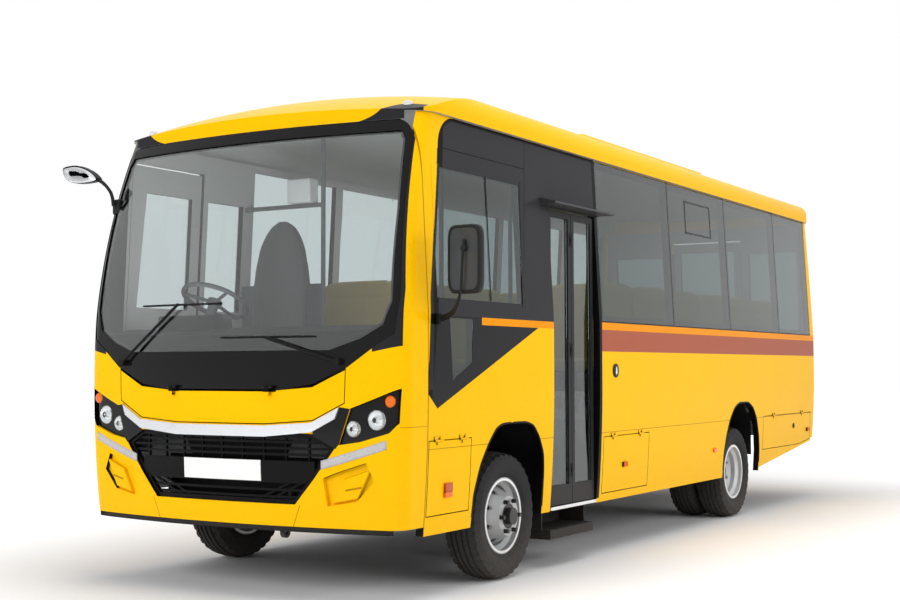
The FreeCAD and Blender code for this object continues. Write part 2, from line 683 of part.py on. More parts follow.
def tie_rod():
    """Cross rod under the two steering arms, with an eye round each pin."""
    x, y, z = arm_end(1)
    level = z - 2 * TIE_EYE_HALF - YOKE_GAP
    pieces = [rod(TIE_ROD_RADIUS, (-x, y, level), (x, y, level))]
    bores = []
    for side in (-1, 1):
        low, high = (side * x, y, level - TIE_EYE_HALF), (side * x, y, level + TIE_EYE_HALF)
        pieces.append(rod(TIE_EYE_RADIUS, low, high))
        bores.append(rod(TIE_PIN_RADIUS + SEAT_GAP, (side * x, y, level - FAR / 2), (side * x, y, level + FAR / 2)))
    return cut(fuse(pieces), bores)


# Power unit and driveline
ENGINE_HALF = 270.0
ENGINE_FRONT = -1090.0
ENGINE_REAR = -150.0
ENGINE_LOW_Z = 520.0
ENGINE_TOP_Z = 1190.0
GEARBOX_HALF = 160.0
GEARBOX_REAR = 500.0
GEARBOX_TOP_Z = 860.0
GEARBOX_LOW_Z = 560.0
SHAFT_RADIUS = 42.0
SHAFT_YOKE_RADIUS = 60.0
SHAFT_YOKE = 80.0


def engine_block():
    engine = box(-ENGINE_HALF, ENGINE_HALF, behind(ENGINE_FRONT), behind(ENGINE_REAR), ENGINE_LOW_Z, ENGINE_TOP_Z)
    gearbox = box(-GEARBOX_HALF, GEARBOX_HALF, behind(ENGINE_REAR), behind(GEARBOX_REAR),
                  GEARBOX_LOW_Z, GEARBOX_TOP_Z)
    mounts = box(-RAIL_X - RAIL_FLANGE + RAIL_PLATE + SEAT_GAP, RAIL_X + RAIL_FLANGE - RAIL_PLATE - SEAT_GAP,
                 behind(ENGINE_REAR) - 2 * SHAFT_YOKE, behind(ENGINE_REAR) - SHAFT_YOKE,
                 RAIL_TOP_Z - RAIL_HEIGHT + RAIL_PLATE + SEAT_GAP, RAIL_TOP_Z - RAIL_PLATE - SEAT_GAP)
    block = fuse([engine, gearbox, mounts])
    tubes = [
        rod(CROSS_TUBE_RADIUS + RUNNING_GAP, (-FAR, behind(place), RAIL_TOP_Z - RAIL_HEIGHT / 2),
            (FAR, behind(place), RAIL_TOP_Z - RAIL_HEIGHT / 2))
        for place in CROSS_TUBES[:2]
    ]
    return cut(block, tubes)


def propeller_shaft():
    """From the gearbox's tail to the axle's nose, with a joint at each end."""
    start = V(0, behind(GEARBOX_REAR) + SEAT_GAP, (GEARBOX_LOW_Z + GEARBOX_TOP_Z) / 2 - SHAFT_DROP)
    end = V(0, REAR_AXLE_Y - BANJO_NOSE - SEAT_GAP, AXLE_Z)
    run = end - start
    step = run * (SHAFT_YOKE / run.Length)
    tube = rod(SHAFT_RADIUS, tuple(start + step / 2), tuple(end - step / 2))
    front = rod(SHAFT_YOKE_RADIUS, tuple(start), (start.x, start.y + SHAFT_YOKE, start.z))
    rear = rod(SHAFT_YOKE_RADIUS, (end.x, end.y - SHAFT_YOKE, end.z), tuple(end))
    return fuse([front, tube, rear])


SHAFT_DROP = 120.0


# Exhaust under the right side and the fuel tank beside the rail
SILENCER_RADIUS = 105.0
SILENCER_X = -620.0
SILENCER_Z = 600.0
SILENCER_FRONT = 1500.0
SILENCER_REAR = 2300.0
PIPE_RADIUS = 38.0
PIPE_BEND = 150.0
TAILPIPE_REAR = 3180.0
TANK_WIDTH = 460.0
TANK_HEIGHT = 400.0
TANK_FRONT = 2440.0
TANK_REAR = 3400.0
TANK_EDGE = 55.0


def exhaust():
    """Silencer with its inlet from the engine and a tail pipe cranked under the axle's side."""
    x, z = SILENCER_X, SILENCER_Z
    engine_x = -ENGINE_HALF - PIPE_RADIUS - RUNNING_GAP
    inlet = [
        (engine_x, behind(ENGINE_REAR) - PIPE_BEND, z - PIPE_BEND),
        (engine_x, behind(GEARBOX_REAR) + PIPE_BEND, z - PIPE_BEND),
        (x, behind(SILENCER_FRONT) - PIPE_BEND, z),
        (x, behind(SILENCER_FRONT), z),
    ]
    pieces = [rod(SILENCER_RADIUS, (x, behind(SILENCER_FRONT), z), (x, behind(SILENCER_REAR), z))]
    for a, b in zip(inlet, inlet[1:]):
        pieces += [rod(PIPE_RADIUS, a, b), Part.makeSphere(PIPE_RADIUS, V(*b))]
    outlet_x = -RAIL_X - RAIL_FLANGE - PIPE_RADIUS - HANGER_WIDTH
    outlet = [
        (x, behind(SILENCER_REAR), z), (x, behind(SILENCER_REAR) + PIPE_RADIUS, z),
        (outlet_x, behind(SILENCER_REAR) + PIPE_BEND, z), (outlet_x, behind(TAILPIPE_REAR), z),
    ]
    for a, b in zip(outlet, outlet[1:]):
        pieces += [rod(PIPE_RADIUS, a, b), Part.makeSphere(PIPE_RADIUS, V(*b))]
    strap_y = behind((SILENCER_FRONT + SILENCER_REAR) / 2)
    pieces.append(box(x + SILENCER_RADIUS / 2, -RAIL_X - RAIL_FLANGE - SEAT_GAP,
                      strap_y - HANGER_WIDTH / 2, strap_y + HANGER_WIDTH / 2, z, z + HANGER_WIDTH))
    return fuse(pieces)


def fuel_tank():
    x1 = -RAIL_X - RAIL_FLANGE - HANGER_WIDTH
    z1 = RAIL_TOP_Z
    tank = rounded_box(x1 - TANK_WIDTH, x1, behind(TANK_FRONT), behind(TANK_REAR), z1 - TANK_HEIGHT, z1, TANK_EDGE)
    pieces = [tank]
    for share in TANK_STRAP_SHARES:
        y = behind(TANK_FRONT + (TANK_REAR - TANK_FRONT) * share)
        pieces.append(box(x1 - TANK_EDGE, -RAIL_X - RAIL_FLANGE - SEAT_GAP, y - HANGER_WIDTH / 2,
                          y + HANGER_WIDTH / 2, z1 - RAIL_HEIGHT, z1 - TANK_EDGE))
    return mirrored(fuse(pieces))


TANK_STRAP_SHARES = (0.2, 0.8)

# Floor, its bearers, the hump over the engine and the wheel housings
FLOOR_THICK = 36.0
DECK_CORNERS = ((700.0, -1268.0), (1011.0, -1214.0), (1110.0, -1125.0), (1110.0, 6370.0), (1000.0, 6475.0),
                (600.0, 6540.0))
BEARER_WIDTH = 50.0
BEARERS = (-1190.0, 640.0, 1290.0, 1980.0, 2653.0, 3300.0, 5299.0, 5900.0, 6440.0)
HUMP_HALF = 320.0
HUMP_FRONT = -1150.0
HUMP_REAR = -90.0
HUMP_TOP_Z = 1250.0
HUMP_PLATE = 20.0
FRONT_ARCH_HALF = 505.0
FRONT_ARCH_TOP_Z = 1010.0
FRONT_ARCH_INNER_X = 640.0
REAR_ARCH_HALF = 470.0
REAR_ARCH_TOP_Z = 1030.0
REAR_ARCH_INNER_X = 600.0
ARCH_PLATE = 5.0
ARCH_SHOULDER = 230.0
ARCH_LOW_Z = 520.0
WELL_FRONT = 530.0
WELL_REAR = 1290.0
WELL_INNER_X = 560.0
WELL_PLATE = 4.0
TREAD_ONE_Z = 385.0
TREAD_TWO_Z = 660.0
TREAD_ONE_DEPTH = 400.0


def arch_outline(centre, half, top, low, inset=0):
    """Wheel housing in side view: upright ends, sloped shoulders and a flat top."""
    reach = half - inset
    high = top - inset
    knee = ARCH_SHOULDER
    return [
        (centre - reach, low), (centre - reach, high - knee), (centre - reach + knee, high),
        (centre + reach - knee, high), (centre + reach, high - knee), (centre + reach, low),
    ]


def housing(centre, half, top, inner_x):
    outer_x = skin_x(ARCH_LOW_Z, WALL) - SEAM_GAP
    solid = outline_x(arch_outline(centre, half, top, ARCH_LOW_Z), inner_x, outer_x)
    hollow = outline_x(arch_outline(centre, half, top, ARCH_LOW_Z - OVERRUN, ARCH_PLATE),
                       inner_x + ARCH_PLATE, outer_x + OVERRUN)
    return solid.cut(hollow)


def housing_rooms():
    """What the wheel housings fill, with a hair's gap round them."""
    rooms = []
    for centre, half, top, inner in (
        (behind(0), FRONT_ARCH_HALF, FRONT_ARCH_TOP_Z, FRONT_ARCH_INNER_X),
        (REAR_AXLE_Y, REAR_ARCH_HALF, REAR_ARCH_TOP_Z, REAR_ARCH_INNER_X),
    ):
        space = outline_x(arch_outline(centre, half, top, ARCH_LOW_Z, -SEAM_GAP), inner - SEAM_GAP, FAR)
        rooms += [space, mirrored(space)]
    return rooms


def wheel_housings():
    front = housing(behind(0), FRONT_ARCH_HALF, FRONT_ARCH_TOP_Z, FRONT_ARCH_INNER_X)
    rear = housing(REAR_AXLE_Y, REAR_ARCH_HALF, REAR_ARCH_TOP_Z, REAR_ARCH_INNER_X)
    return Part.makeCompound([front, mirrored(front), rear, mirrored(rear)])


def floor():
    """Plywood deck on cross bearers, opened for the wheels, the steps and the engine."""
    edge = skin_x(RAIL_TOP_Z, WALL) - SEAM_GAP
    deck_low = FLOOR_Z - FLOOR_THICK
    half = [(x, behind(y)) for x, y in DECK_CORNERS[:2]] + [(edge, behind(DECK_CORNERS[2][1]))]
    half += [(edge, behind(DECK_CORNERS[3][1]))] + [(x, behind(y)) for x, y in DECK_CORNERS[4:]]
    ring = [V(x, y, RAIL_TOP_Z) for x, y in half + [(-x, y) for x, y in reversed(half)]]
    plan = Part.Face(Part.makePolygon(ring + ring[:1]))
    deck = plan.extrude(V(0, 0, FLOOR_Z - RAIL_TOP_Z)).common(box(-FAR, FAR, -FAR, FAR, deck_low, FAR))
    pieces = [deck]
    for place in BEARERS:
        bearer = box(-FAR, FAR, behind(place) - BEARER_WIDTH / 2, behind(place) + BEARER_WIDTH / 2,
                     RAIL_TOP_Z, deck_low)
        pieces.append(bearer.common(plan.extrude(V(0, 0, FLOOR_Z - RAIL_TOP_Z))))
    hump = box(-HUMP_HALF, HUMP_HALF, behind(HUMP_FRONT), behind(HUMP_REAR), deck_low, HUMP_TOP_Z)
    pieces.append(hump)
    deck = fuse(pieces)
    hollow = box(-HUMP_HALF + HUMP_PLATE, HUMP_HALF - HUMP_PLATE, behind(HUMP_FRONT) + HUMP_PLATE,
                 behind(HUMP_REAR) - HUMP_PLATE, RAIL_TOP_Z - OVERRUN, HUMP_TOP_Z - HUMP_PLATE)
    tools = [hollow] + housing_rooms()
    tools.append(box(WELL_INNER_X - WELL_PLATE - SEAM_GAP, FAR, behind(WELL_FRONT) - WELL_PLATE - SEAM_GAP,
                     behind(WELL_REAR) + WELL_PLATE + SEAM_GAP, RAIL_TOP_Z - OVERRUN, FAR))
    return cut(deck, tools)


# Entrance steps: a bent plate well, and the low step outside under the sill
OUTER_STEP_Z = 250.0
OUTER_STEP_DROP = 60.0
OUTER_STEP_X = 1165.0
OUTER_STEP_INNER_X = 900.0
OUTER_STEP_REAR = 1180.0
STEP_PLATE = 12.0


def entrance_steps():
    y0, y1 = behind(WELL_FRONT), behind(WELL_REAR)
    outer = skin_x(SKIRT_Z, WALL) - SEAM_GAP
    riser = outer - TREAD_ONE_DEPTH
    plate = WELL_PLATE
    profile = [
        (outer, TREAD_ONE_Z), (riser, TREAD_ONE_Z), (riser, TREAD_TWO_Z), (WELL_INNER_X, TREAD_TWO_Z),
        (WELL_INNER_X, FLOOR_Z), (WELL_INNER_X - plate, FLOOR_Z), (WELL_INNER_X - plate, TREAD_TWO_Z - plate),
        (riser - plate, TREAD_TWO_Z - plate), (riser - plate, TREAD_ONE_Z - plate), (outer, TREAD_ONE_Z - plate),
    ]
    well = outline_y(profile, y0 - plate, y1 + plate)
    cheek_outline = [
        (outer, TREAD_ONE_Z - plate), (riser - plate, TREAD_ONE_Z - plate), (riser - plate, TREAD_TWO_Z - plate),
        (WELL_INNER_X - plate, TREAD_TWO_Z - plate), (WELL_INNER_X - plate, FLOOR_Z), (outer, FLOOR_Z),
    ]
    cheeks = [outline_y(cheek_outline, y0 - plate, y0), outline_y(cheek_outline, y1, y1 + plate)]
    low = OUTER_STEP_Z - OUTER_STEP_DROP
    under = TREAD_ONE_Z - plate
    y2 = behind(OUTER_STEP_REAR)
    foot = [
        box(OUTER_STEP_INNER_X, OUTER_STEP_X, y0, y2, OUTER_STEP_Z - STEP_PLATE, OUTER_STEP_Z),
        box(OUTER_STEP_X - STEP_PLATE, OUTER_STEP_X, y0, y2, low, OUTER_STEP_Z),
        box(OUTER_STEP_INNER_X, OUTER_STEP_X, y0, y0 + STEP_PLATE, low, OUTER_STEP_Z),
        box(OUTER_STEP_INNER_X, OUTER_STEP_X, y2 - STEP_PLATE, y2, low, OUTER_STEP_Z),
        box(OUTER_STEP_INNER_X, OUTER_STEP_INNER_X + STEP_PLATE, y0, y2, low, under),
    ]
    for y in (y0, y2 - STEP_PLATE):
        foot.append(box(OUTER_STEP_INNER_X, outer, y, y + STEP_PLATE, OUTER_STEP_Z - STEP_PLATE, under))
    return fuse([well] + cheeks + foot)


# Openings in the sides, as places behind the front axle and heights
DOOR_FRONT = 555.0
DOOR_REAR = 1267.0
DOOR_TOP_Z = 2372.0
PANE_EDGES = (1306.0, 2653.0, 3949.0, 5299.0, 6290.0)
FAR_PANE_FRONT = 215.0
PANE_LOW_Z = 1640.0
PANE_TOP_Z = 2772.0
PANE_JOINT = 10.0
PANE_LAP = 38.0
GLASS = 6.0
GLASS_BED = 2.0
CAB_WINDOW_FRONT = -900.0
CAB_WINDOW_REAR = 142.0
FAR_WINDOW_FRONT = -235.0
CAB_WINDOW_LOW_Z = 1712.0
CAB_WINDOW_TOP_Z = 2470.0
WING_POINTS = ((-770.0, 1600.0), (-735.0, 1240.0), (-510.0, 1345.0), (-505.0, 1600.0))
FRONT_ARCH_CUT = ((-486.0, 300.0), (-465.0, 560.0), (-400.0, 730.0), (-305.0, 860.0), (-215.0, 945.0),
                  (-130.0, 971.0), (170.0, 971.0), (270.0, 945.0), (350.0, 870.0), (417.0, 760.0),
                  (430.0, 640.0), (430.0, 300.0))
REAR_ARCH_CUT = ((-405.0, 300.0), (-395.0, 560.0), (-350.0, 720.0), (-270.0, 860.0), (-160.0, 960.0),
                 (-40.0, 1002.0), (200.0, 1002.0), (330.0, 950.0), (430.0, 850.0), (500.0, 700.0),
                 (535.0, 560.0), (545.0, 300.0))
TAIL_RISE_START = 4754.0
TAIL_LOW_Z = 607.0
SILL_REAR_Z = 400.0


def tail_wedge():
    """What the rising lower edge takes off the skirt behind the rear wheels."""
    return outline_x([
        (behind(TAIL_RISE_START), 0), (behind(TAIL_RISE_START), SILL_REAR_Z), (behind(TAIL_FACE), TAIL_LOW_Z),
        (behind(TAIL_FACE) + OVERRUN, TAIL_LOW_Z), (behind(TAIL_FACE) + OVERRUN, 0),
    ], -FAR, FAR)


def side_panes(entrance):
    """Front and rear of each bonded pane; the far side has one more, opposite the entrance."""
    edges = PANE_EDGES if entrance else (FAR_PANE_FRONT,) + PANE_EDGES
    return [(behind(front) + PANE_JOINT / 2, behind(rear) - PANE_JOINT / 2) for front, rear in zip(edges, edges[1:])]


def shaped_hole(points):
    return outline_x([(behind(y), z) for y, z in points], 0, FAR)


# Flaps in the skirt: places behind the front axle, lower and upper heights
FLAPS = {
    "flap_front": (-985.0, -520.0, 480.0, 898.0),
    "flap_middle": (1345.0, 2150.0, 430.0, 822.0),
    "flap_rear": (4830.0, 6290.0, 560.0, 858.0),
}
FLAP_THICK = 22.0
FLAP_GAP = 6.0
FLAP_HINGE_RADIUS = 6.0
FLAP_PIN_RADIUS = 3.0
FLAP_HINGE_LENGTH = 90.0
FLAP_HINGE_SHARES = (0.2, 0.8)
FLAP_FRAME = 24.0


def flap_blank(name, grow):
    front, rear, low, top = FLAPS[name]
    depth = FLAP_THICK + max(grow, 0)
    sheet = side_skin(-grow, depth, behind(front) - grow, behind(rear) + grow, low - grow, top + grow)
    if name == "flap_rear":
        wedge = tail_wedge()
        wedge.translate(V(0, 0, FLAP_FRAME + FLAP_GAP - grow))
        sheet = sheet.cut(wedge)
    return sheet


def flap_axis(name):
    top = FLAPS[name][3]
    return skin_x(top) + FLAP_HINGE_RADIUS, top + FLAP_GAP / 2


def flap_hinges(name):
    """For each hinge: its middle, along the flap."""
    front, rear = behind(FLAPS[name][0]), behind(FLAPS[name][1])
    return [front + (rear - front) * share for share in FLAP_HINGE_SHARES]


def flap(name):
    """Pressed flap with two hinge barrels on its upper edge and an amber lamp on its face."""
    x, z = flap_axis(name)
    pieces = [flap_blank(name, 0)]
    bores = []
    for y in flap_hinges(name):
        half = FLAP_HINGE_LENGTH / 6
        pieces.append(rod(FLAP_HINGE_RADIUS, (x, y - half, z), (x, y + half, z)))
        pieces.append(box(x - FLAP_HINGE_RADIUS - FLAP_THICK / 2, x, y - half, y + half, z - FLAP_FRAME, z))
        bores.append(rod(FLAP_PIN_RADIUS + SEAT_GAP, (x, y - FAR, z), (x, y + FAR, z)))
    return Part.makeCompound([cut(fuse(pieces), bores), marker(FLAP_MARKERS[name])])


def flap_pins(name):
    """The body's half of each hinge: two knuckles joined by the pin, on the wall above the flap."""
    x, z = flap_axis(name)
    pieces = []
    for y in flap_hinges(name):
        half = FLAP_HINGE_LENGTH / 6
        gap = SEAT_GAP
        parts = [rod(FLAP_PIN_RADIUS, (x, y - 3 * half, z), (x, y + 3 * half, z))]
        for y0, y1 in ((y - 3 * half, y - half - gap), (y + half + gap, y + 3 * half)):
            parts.append(rod(FLAP_HINGE_RADIUS, (x, y0, z), (x, y1, z)))
            parts.append(box(x - FLAP_HINGE_RADIUS - FLAP_GAP, x, y0, y1, z, z + FLAP_FRAME))
        pieces.append(fuse(parts))
    return pieces


def flap_knuckle_room(name):
    """Slot in the wall for the flap's own barrel and leaf."""
    x, z = flap_axis(name)
    half = FLAP_HINGE_LENGTH / 6
    reach = FLAP_HINGE_RADIUS + FLAP_GAP
    return [box(x - reach, x + reach, y - half - SEAT_GAP, y + half + SEAT_GAP, z - reach, z + reach)
            for y in flap_hinges(name)]


def side_wall(entrance):
    """One side from the nose's seam to the tail's, with every opening cut."""
    y0, y1 = behind(FRONT_SEAM) + SEAM_GAP, behind(REAR_SEAM) - SEAM_GAP
    wall = side_skin(0, WALL, y0, y1, SKIRT_Z, CANT_Z - SEAM_GAP)
    corner = box(0, FAR, y0 - OVERRUN, y0 + 2 * CORNER_RADIUS, WAIST_Z, FAR).cut(nose_cap(0))
    tools = [corner, outline_x([(behind(y), z) for y, z in FRONT_ARCH_CUT], 0, FAR),
             outline_x([(REAR_AXLE_Y + y, z) for y, z in REAR_ARCH_CUT], 0, FAR),
             tail_wedge()]
    for ya, yb in side_panes(entrance):
        tools.append(side_skin(-OVERRUN, GLASS + GLASS_BED, ya - PANE_JOINT / 2 + SEAM_GAP,
                               yb + PANE_JOINT / 2 - SEAM_GAP, PANE_LOW_Z - SEAM_GAP, CANT_Z))
        tools.append(box(0, FAR, ya + PANE_LAP, yb - PANE_LAP, PANE_LOW_Z + PANE_LAP, PANE_TOP_Z - PANE_LAP))
    window_front = CAB_WINDOW_FRONT if entrance else FAR_WINDOW_FRONT
    tools.append(box(0, FAR, behind(window_front), behind(CAB_WINDOW_REAR), CAB_WINDOW_LOW_Z, CAB_WINDOW_TOP_Z))
    if entrance:
        tools.append(shaped_hole(WING_POINTS))
        tools.append(box(0, FAR, behind(DOOR_FRONT), behind(DOOR_REAR), 0, DOOR_TOP_Z))
        for name in FLAPS:
            tools.append(flap_blank(name, FLAP_GAP))
            tools += flap_knuckle_room(name)
        wall = cut(wall, tools)
        pins = []
        for name in FLAPS:
            pins += flap_pins(name)
        return fuse([wall] + pins)
    tools.append(driver_door_hole())
    knuckles, pins, bore = driver_hinges()
    return fuse([cut(wall, tools)] + pins)


# Driver's door on the far side, cut back at its lower corner for the wheel
DRIVER_DOOR = ((-965.0, 520.0), (-560.0, 520.0), (-530.0, 800.0), (-300.0, 1030.0),
               (-300.0, 2640.0), (-965.0, 2640.0))
DRIVER_DOOR_THICK = 40.0
DRIVER_HINGE_HEIGHTS = (700.0, 1500.0)
DRIVER_GLASS = ((-880.0, 1712.0), (-390.0, 1712.0), (-390.0, 2470.0), (-830.0, 2470.0))


def grown(points, gap):
    """An outline with every edge moved out by a gap, its corners kept sharp."""
    ring = list(points)
    after = ring[1:] + ring[:1]
    area = sum(a[0] * b[1] - b[0] * a[1] for a, b in zip(ring, after))
    push = math.copysign(1, area) * gap
    normals = [V(b[1] - a[1], a[0] - b[0], 0).normalize() for a, b in zip(ring, after)]
    moved = []
    for number, point in enumerate(ring):
        before, here = normals[number - 1], normals[number]
        step = (before + here) * (push / (1 + before.dot(here)))
        moved.append((point[0] + step.x, point[1] + step.y))
    return moved


# Hinges with an upright pin, shared by the driver's door and the exit at the tail
BARREL_RADIUS = 11.0
BARREL_PIN = 6.0
BARREL_LENGTH = 102.0
BARREL_CLEAR = 5.0
BARREL_LEAF = 46.0
BARREL_BED = 12.0
DRIVER_AXIS = (HALF_WAIST + BARREL_RADIUS + BARREL_CLEAR, behind(DRIVER_DOOR[0][0]) - SHUT_GAP / 2)


def barrels(axis, heights, door_plate, body_plate):
    """Door's middle knuckle and the body's two with the pin; plates are x and y spans at each height."""
    x, y = axis
    third = BARREL_LENGTH / 6
    door, body = [], []
    for z, door_span, body_span in zip(heights, door_plate, body_plate):
        door.append(rod(BARREL_RADIUS, (x, y, z - third), (x, y, z + third)))
        door.append(box(*door_span, z - third, z + third))
        body.append(rod(BARREL_PIN, (x, y, z - 3 * third), (x, y, z + 3 * third)))
        for low, high in ((z - 3 * third, z - third - SEAT_GAP), (z + third + SEAT_GAP, z + 3 * third)):
            body.append(rod(BARREL_RADIUS, (x, y, low), (x, y, high)))
            body.append(box(*body_span, low, high))
    bore = rod(BARREL_PIN + SEAT_GAP, (x, y, 0), (x, y, FAR))
    return door, body, bore


def driver_hinges():
    x, y = DRIVER_AXIS
    beds = [(skin_x(z) - BARREL_BED, x) for z in DRIVER_HINGE_HEIGHTS]
    return barrels(DRIVER_AXIS, DRIVER_HINGE_HEIGHTS, [bed + (y, y + BARREL_LEAF) for bed in beds],
                   [bed + (behind(FRONT_SEAM) + SEAM_GAP, y) for bed in beds])


def driver_door_hole():
    return outline_x([(behind(y), z) for y, z in grown(DRIVER_DOOR, SHUT_GAP)], 0, FAR)


def driver_door():
    """Modelled on the entrance side and mirrored."""
    y0, y1 = behind(FRONT_SEAM), behind(0)
    leaf = side_skin(0, DRIVER_DOOR_THICK, y0, y1, SKIRT_Z, CANT_Z)
    leaf = leaf.common(outline_x([(behind(y), z) for y, z in DRIVER_DOOR], 0, FAR))
    hole = outline_x([(behind(y), z) for y, z in DRIVER_GLASS], 0, FAR)
    knuckles, pins, bore = driver_hinges()
    return fuse([leaf.cut(hole)] + knuckles).cut(bore)


def driver_glass():
    pane = side_skin(GLASS_BED, GLASS_BED + GLASS, behind(FRONT_SEAM), behind(0), SKIRT_Z, CANT_Z)
    return pane.common(outline_x([(behind(y), z) for y, z in grown(DRIVER_GLASS, -SEAT_GAP)], 0, FAR))


# Passenger door: two leaves that fold inwards like a book
LEAF_OUTER_X = 1140.0
LEAF_THICK = 32.0
LEAF_END_GAP = 12.0
LEAF_MIDDLE_GAP = 6.0
LEAF_LOW_Z = 400.0
LEAF_TOP_Z = 2360.0
LEAF_STILE = 42.0
LEAF_FOOT = 130.0
LEAF_PIVOT_INSET = 20.0
LEAF_PIVOT_RADIUS = 9.0
LEAF_HINGE_RADIUS = 9.0
LEAF_HINGE_PIN = 4.0
LEAF_HINGE_HEIGHTS = (620.0, 1430.0, 2180.0)
LEAF_HINGE_LENGTH = 90.0
LEAF_PLATE = 4.5
LEAF_PLATE_ROOM = 1.5
LEAF_PANE = 6.0
LEAF_PIVOT_Y = DOOR_REAR - LEAF_END_GAP - LEAF_PIVOT_INSET
LEAF_ROLLER_Y = DOOR_FRONT + LEAF_END_GAP + LEAF_PIVOT_INSET
LEAF_MIDDLE_Y = (LEAF_PIVOT_Y + LEAF_ROLLER_Y) / 2
LEAF_CENTRE_X = LEAF_OUTER_X - LEAF_THICK / 2


def leaf_frame(y0, y1):
    frame = box(LEAF_OUTER_X - LEAF_THICK, LEAF_OUTER_X, y0, y1, LEAF_LOW_Z, LEAF_TOP_Z)
    light = box(0, FAR, y0 + LEAF_STILE, y1 - LEAF_STILE, LEAF_LOW_Z + LEAF_FOOT, LEAF_TOP_Z - LEAF_STILE)
    return frame.cut(light)


def leaf_glass(y0, y1):
    x = LEAF_CENTRE_X
    gap = SEAT_GAP
    return box(x - LEAF_PANE / 2, x + LEAF_PANE / 2, y0 + LEAF_STILE + gap, y1 - LEAF_STILE - gap,
               LEAF_LOW_Z + LEAF_FOOT + gap, LEAF_TOP_Z - LEAF_STILE - gap)


def leaf_edges(rear):
    if rear:
        return behind(LEAF_MIDDLE_Y) + LEAF_MIDDLE_GAP / 2, behind(DOOR_REAR - LEAF_END_GAP)
    return behind(DOOR_FRONT + LEAF_END_GAP), behind(LEAF_MIDDLE_Y) - LEAF_MIDDLE_GAP / 2


def leaf_hinge(z, middle):
    """Barrel on the outer face over the gap: the rear leaf has the middle third, the front leaf the ends."""
    x, y = LEAF_OUTER_X, behind(LEAF_MIDDLE_Y)
    third = LEAF_HINGE_LENGTH / 6
    if middle:
        spans = [(z - third, z + third)]
    else:
        spans = [(z - 3 * third, z - third - SEAT_GAP), (z + third + SEAT_GAP, z + 3 * third)]
    side = 1 if middle else -1
    pieces = []
    for low, high in spans:
        pieces.append(rod(LEAF_HINGE_RADIUS, (x, y, low), (x, y, high)))
        y0, y1 = sorted((y, y + side * LEAF_STILE / 2))
        pieces.append(box(x, x + LEAF_PLATE, y0, y1, low, high))
    return pieces, (x, y)


def leaf_pocket(z0, z1, side):
    """Shallow pocket in a leaf's outer face, where the other leaf's hinge plate lies when they fold."""
    x, y = LEAF_OUTER_X, behind(LEAF_MIDDLE_Y)
    reach = LEAF_STILE / 2 + LEAF_PLATE_ROOM
    y0, y1 = sorted((y, y + side * reach))
    return box(x - LEAF_PLATE - LEAF_PLATE_ROOM, x, y0, y1, z0 - LEAF_PLATE_ROOM, z1 + LEAF_PLATE_ROOM)


def door_leaf_rear():
    y0, y1 = leaf_edges(True)
    pieces = []
    rooms, pockets = [], []
    for z in LEAF_HINGE_HEIGHTS:
        barrel, (x, y) = leaf_hinge(z, True)
        pieces += barrel
        room = LEAF_HINGE_RADIUS + 2 * SEAT_GAP
        for low, high in ((z - LEAF_HINGE_LENGTH / 2, z - LEAF_HINGE_LENGTH / 6),
                          (z + LEAF_HINGE_LENGTH / 6, z + LEAF_HINGE_LENGTH / 2)):
            rooms.append(rod(room, (x, y, low - SEAT_GAP), (x, y, high + SEAT_GAP)))
        rooms.append(rod(LEAF_HINGE_PIN + SEAT_GAP, (x, y, 0), (x, y, FAR)))
        third = LEAF_HINGE_LENGTH / 6
        pockets += [leaf_pocket(z - 3 * third, z - third, 1), leaf_pocket(z + third, z + 3 * third, 1)]
    x, y = LEAF_CENTRE_X, behind(LEAF_PIVOT_Y)
    pivot = [rod(LEAF_PIVOT_RADIUS, (x, y, LEAF_TOP_Z - LEAF_STILE), (x, y, DOOR_TOP_Z - SEAT_GAP))]
    leaf = fuse([cut(leaf_frame(y0, y1), pockets)] + pieces)
    return fuse([cut(leaf, rooms)] + pivot)


def door_leaf_front():
    y0, y1 = leaf_edges(False)
    frame = leaf_frame(y0, y1)
    rooms = []
    pieces = []
    for z in LEAF_HINGE_HEIGHTS:
        barrel, (x, y) = leaf_hinge(z, False)
        pieces += barrel
        pieces.append(rod(LEAF_HINGE_PIN, (x, y, z - LEAF_HINGE_LENGTH / 2), (x, y, z + LEAF_HINGE_LENGTH / 2)))
        room = LEAF_HINGE_RADIUS + 2 * SEAT_GAP
        third = LEAF_HINGE_LENGTH / 6
        rooms.append(rod(room, (x, y, z - third - SEAT_GAP), (x, y, z + third + SEAT_GAP)))
        rooms.append(leaf_pocket(z - third, z + third, -1))
    frame = cut(frame, rooms)
    return fuse([frame] + pieces)


# Roof: arched section with rounded cant rails
ROOF_CORNER_RADIUS = 160.0
ROOF_CORNER_X = 995.0
ROOF_CORNER_Z = 2815.0
ROOF_THICK = 45.0


def crown_radius():
    """Radius of the arch across the roof, tangent to both corners."""
    drop = ROOF_TOP_Z - ROOF_CORNER_Z
    return (ROOF_CORNER_X ** 2 + drop ** 2 - ROOF_CORNER_RADIUS ** 2) / (2 * (drop - ROOF_CORNER_RADIUS))


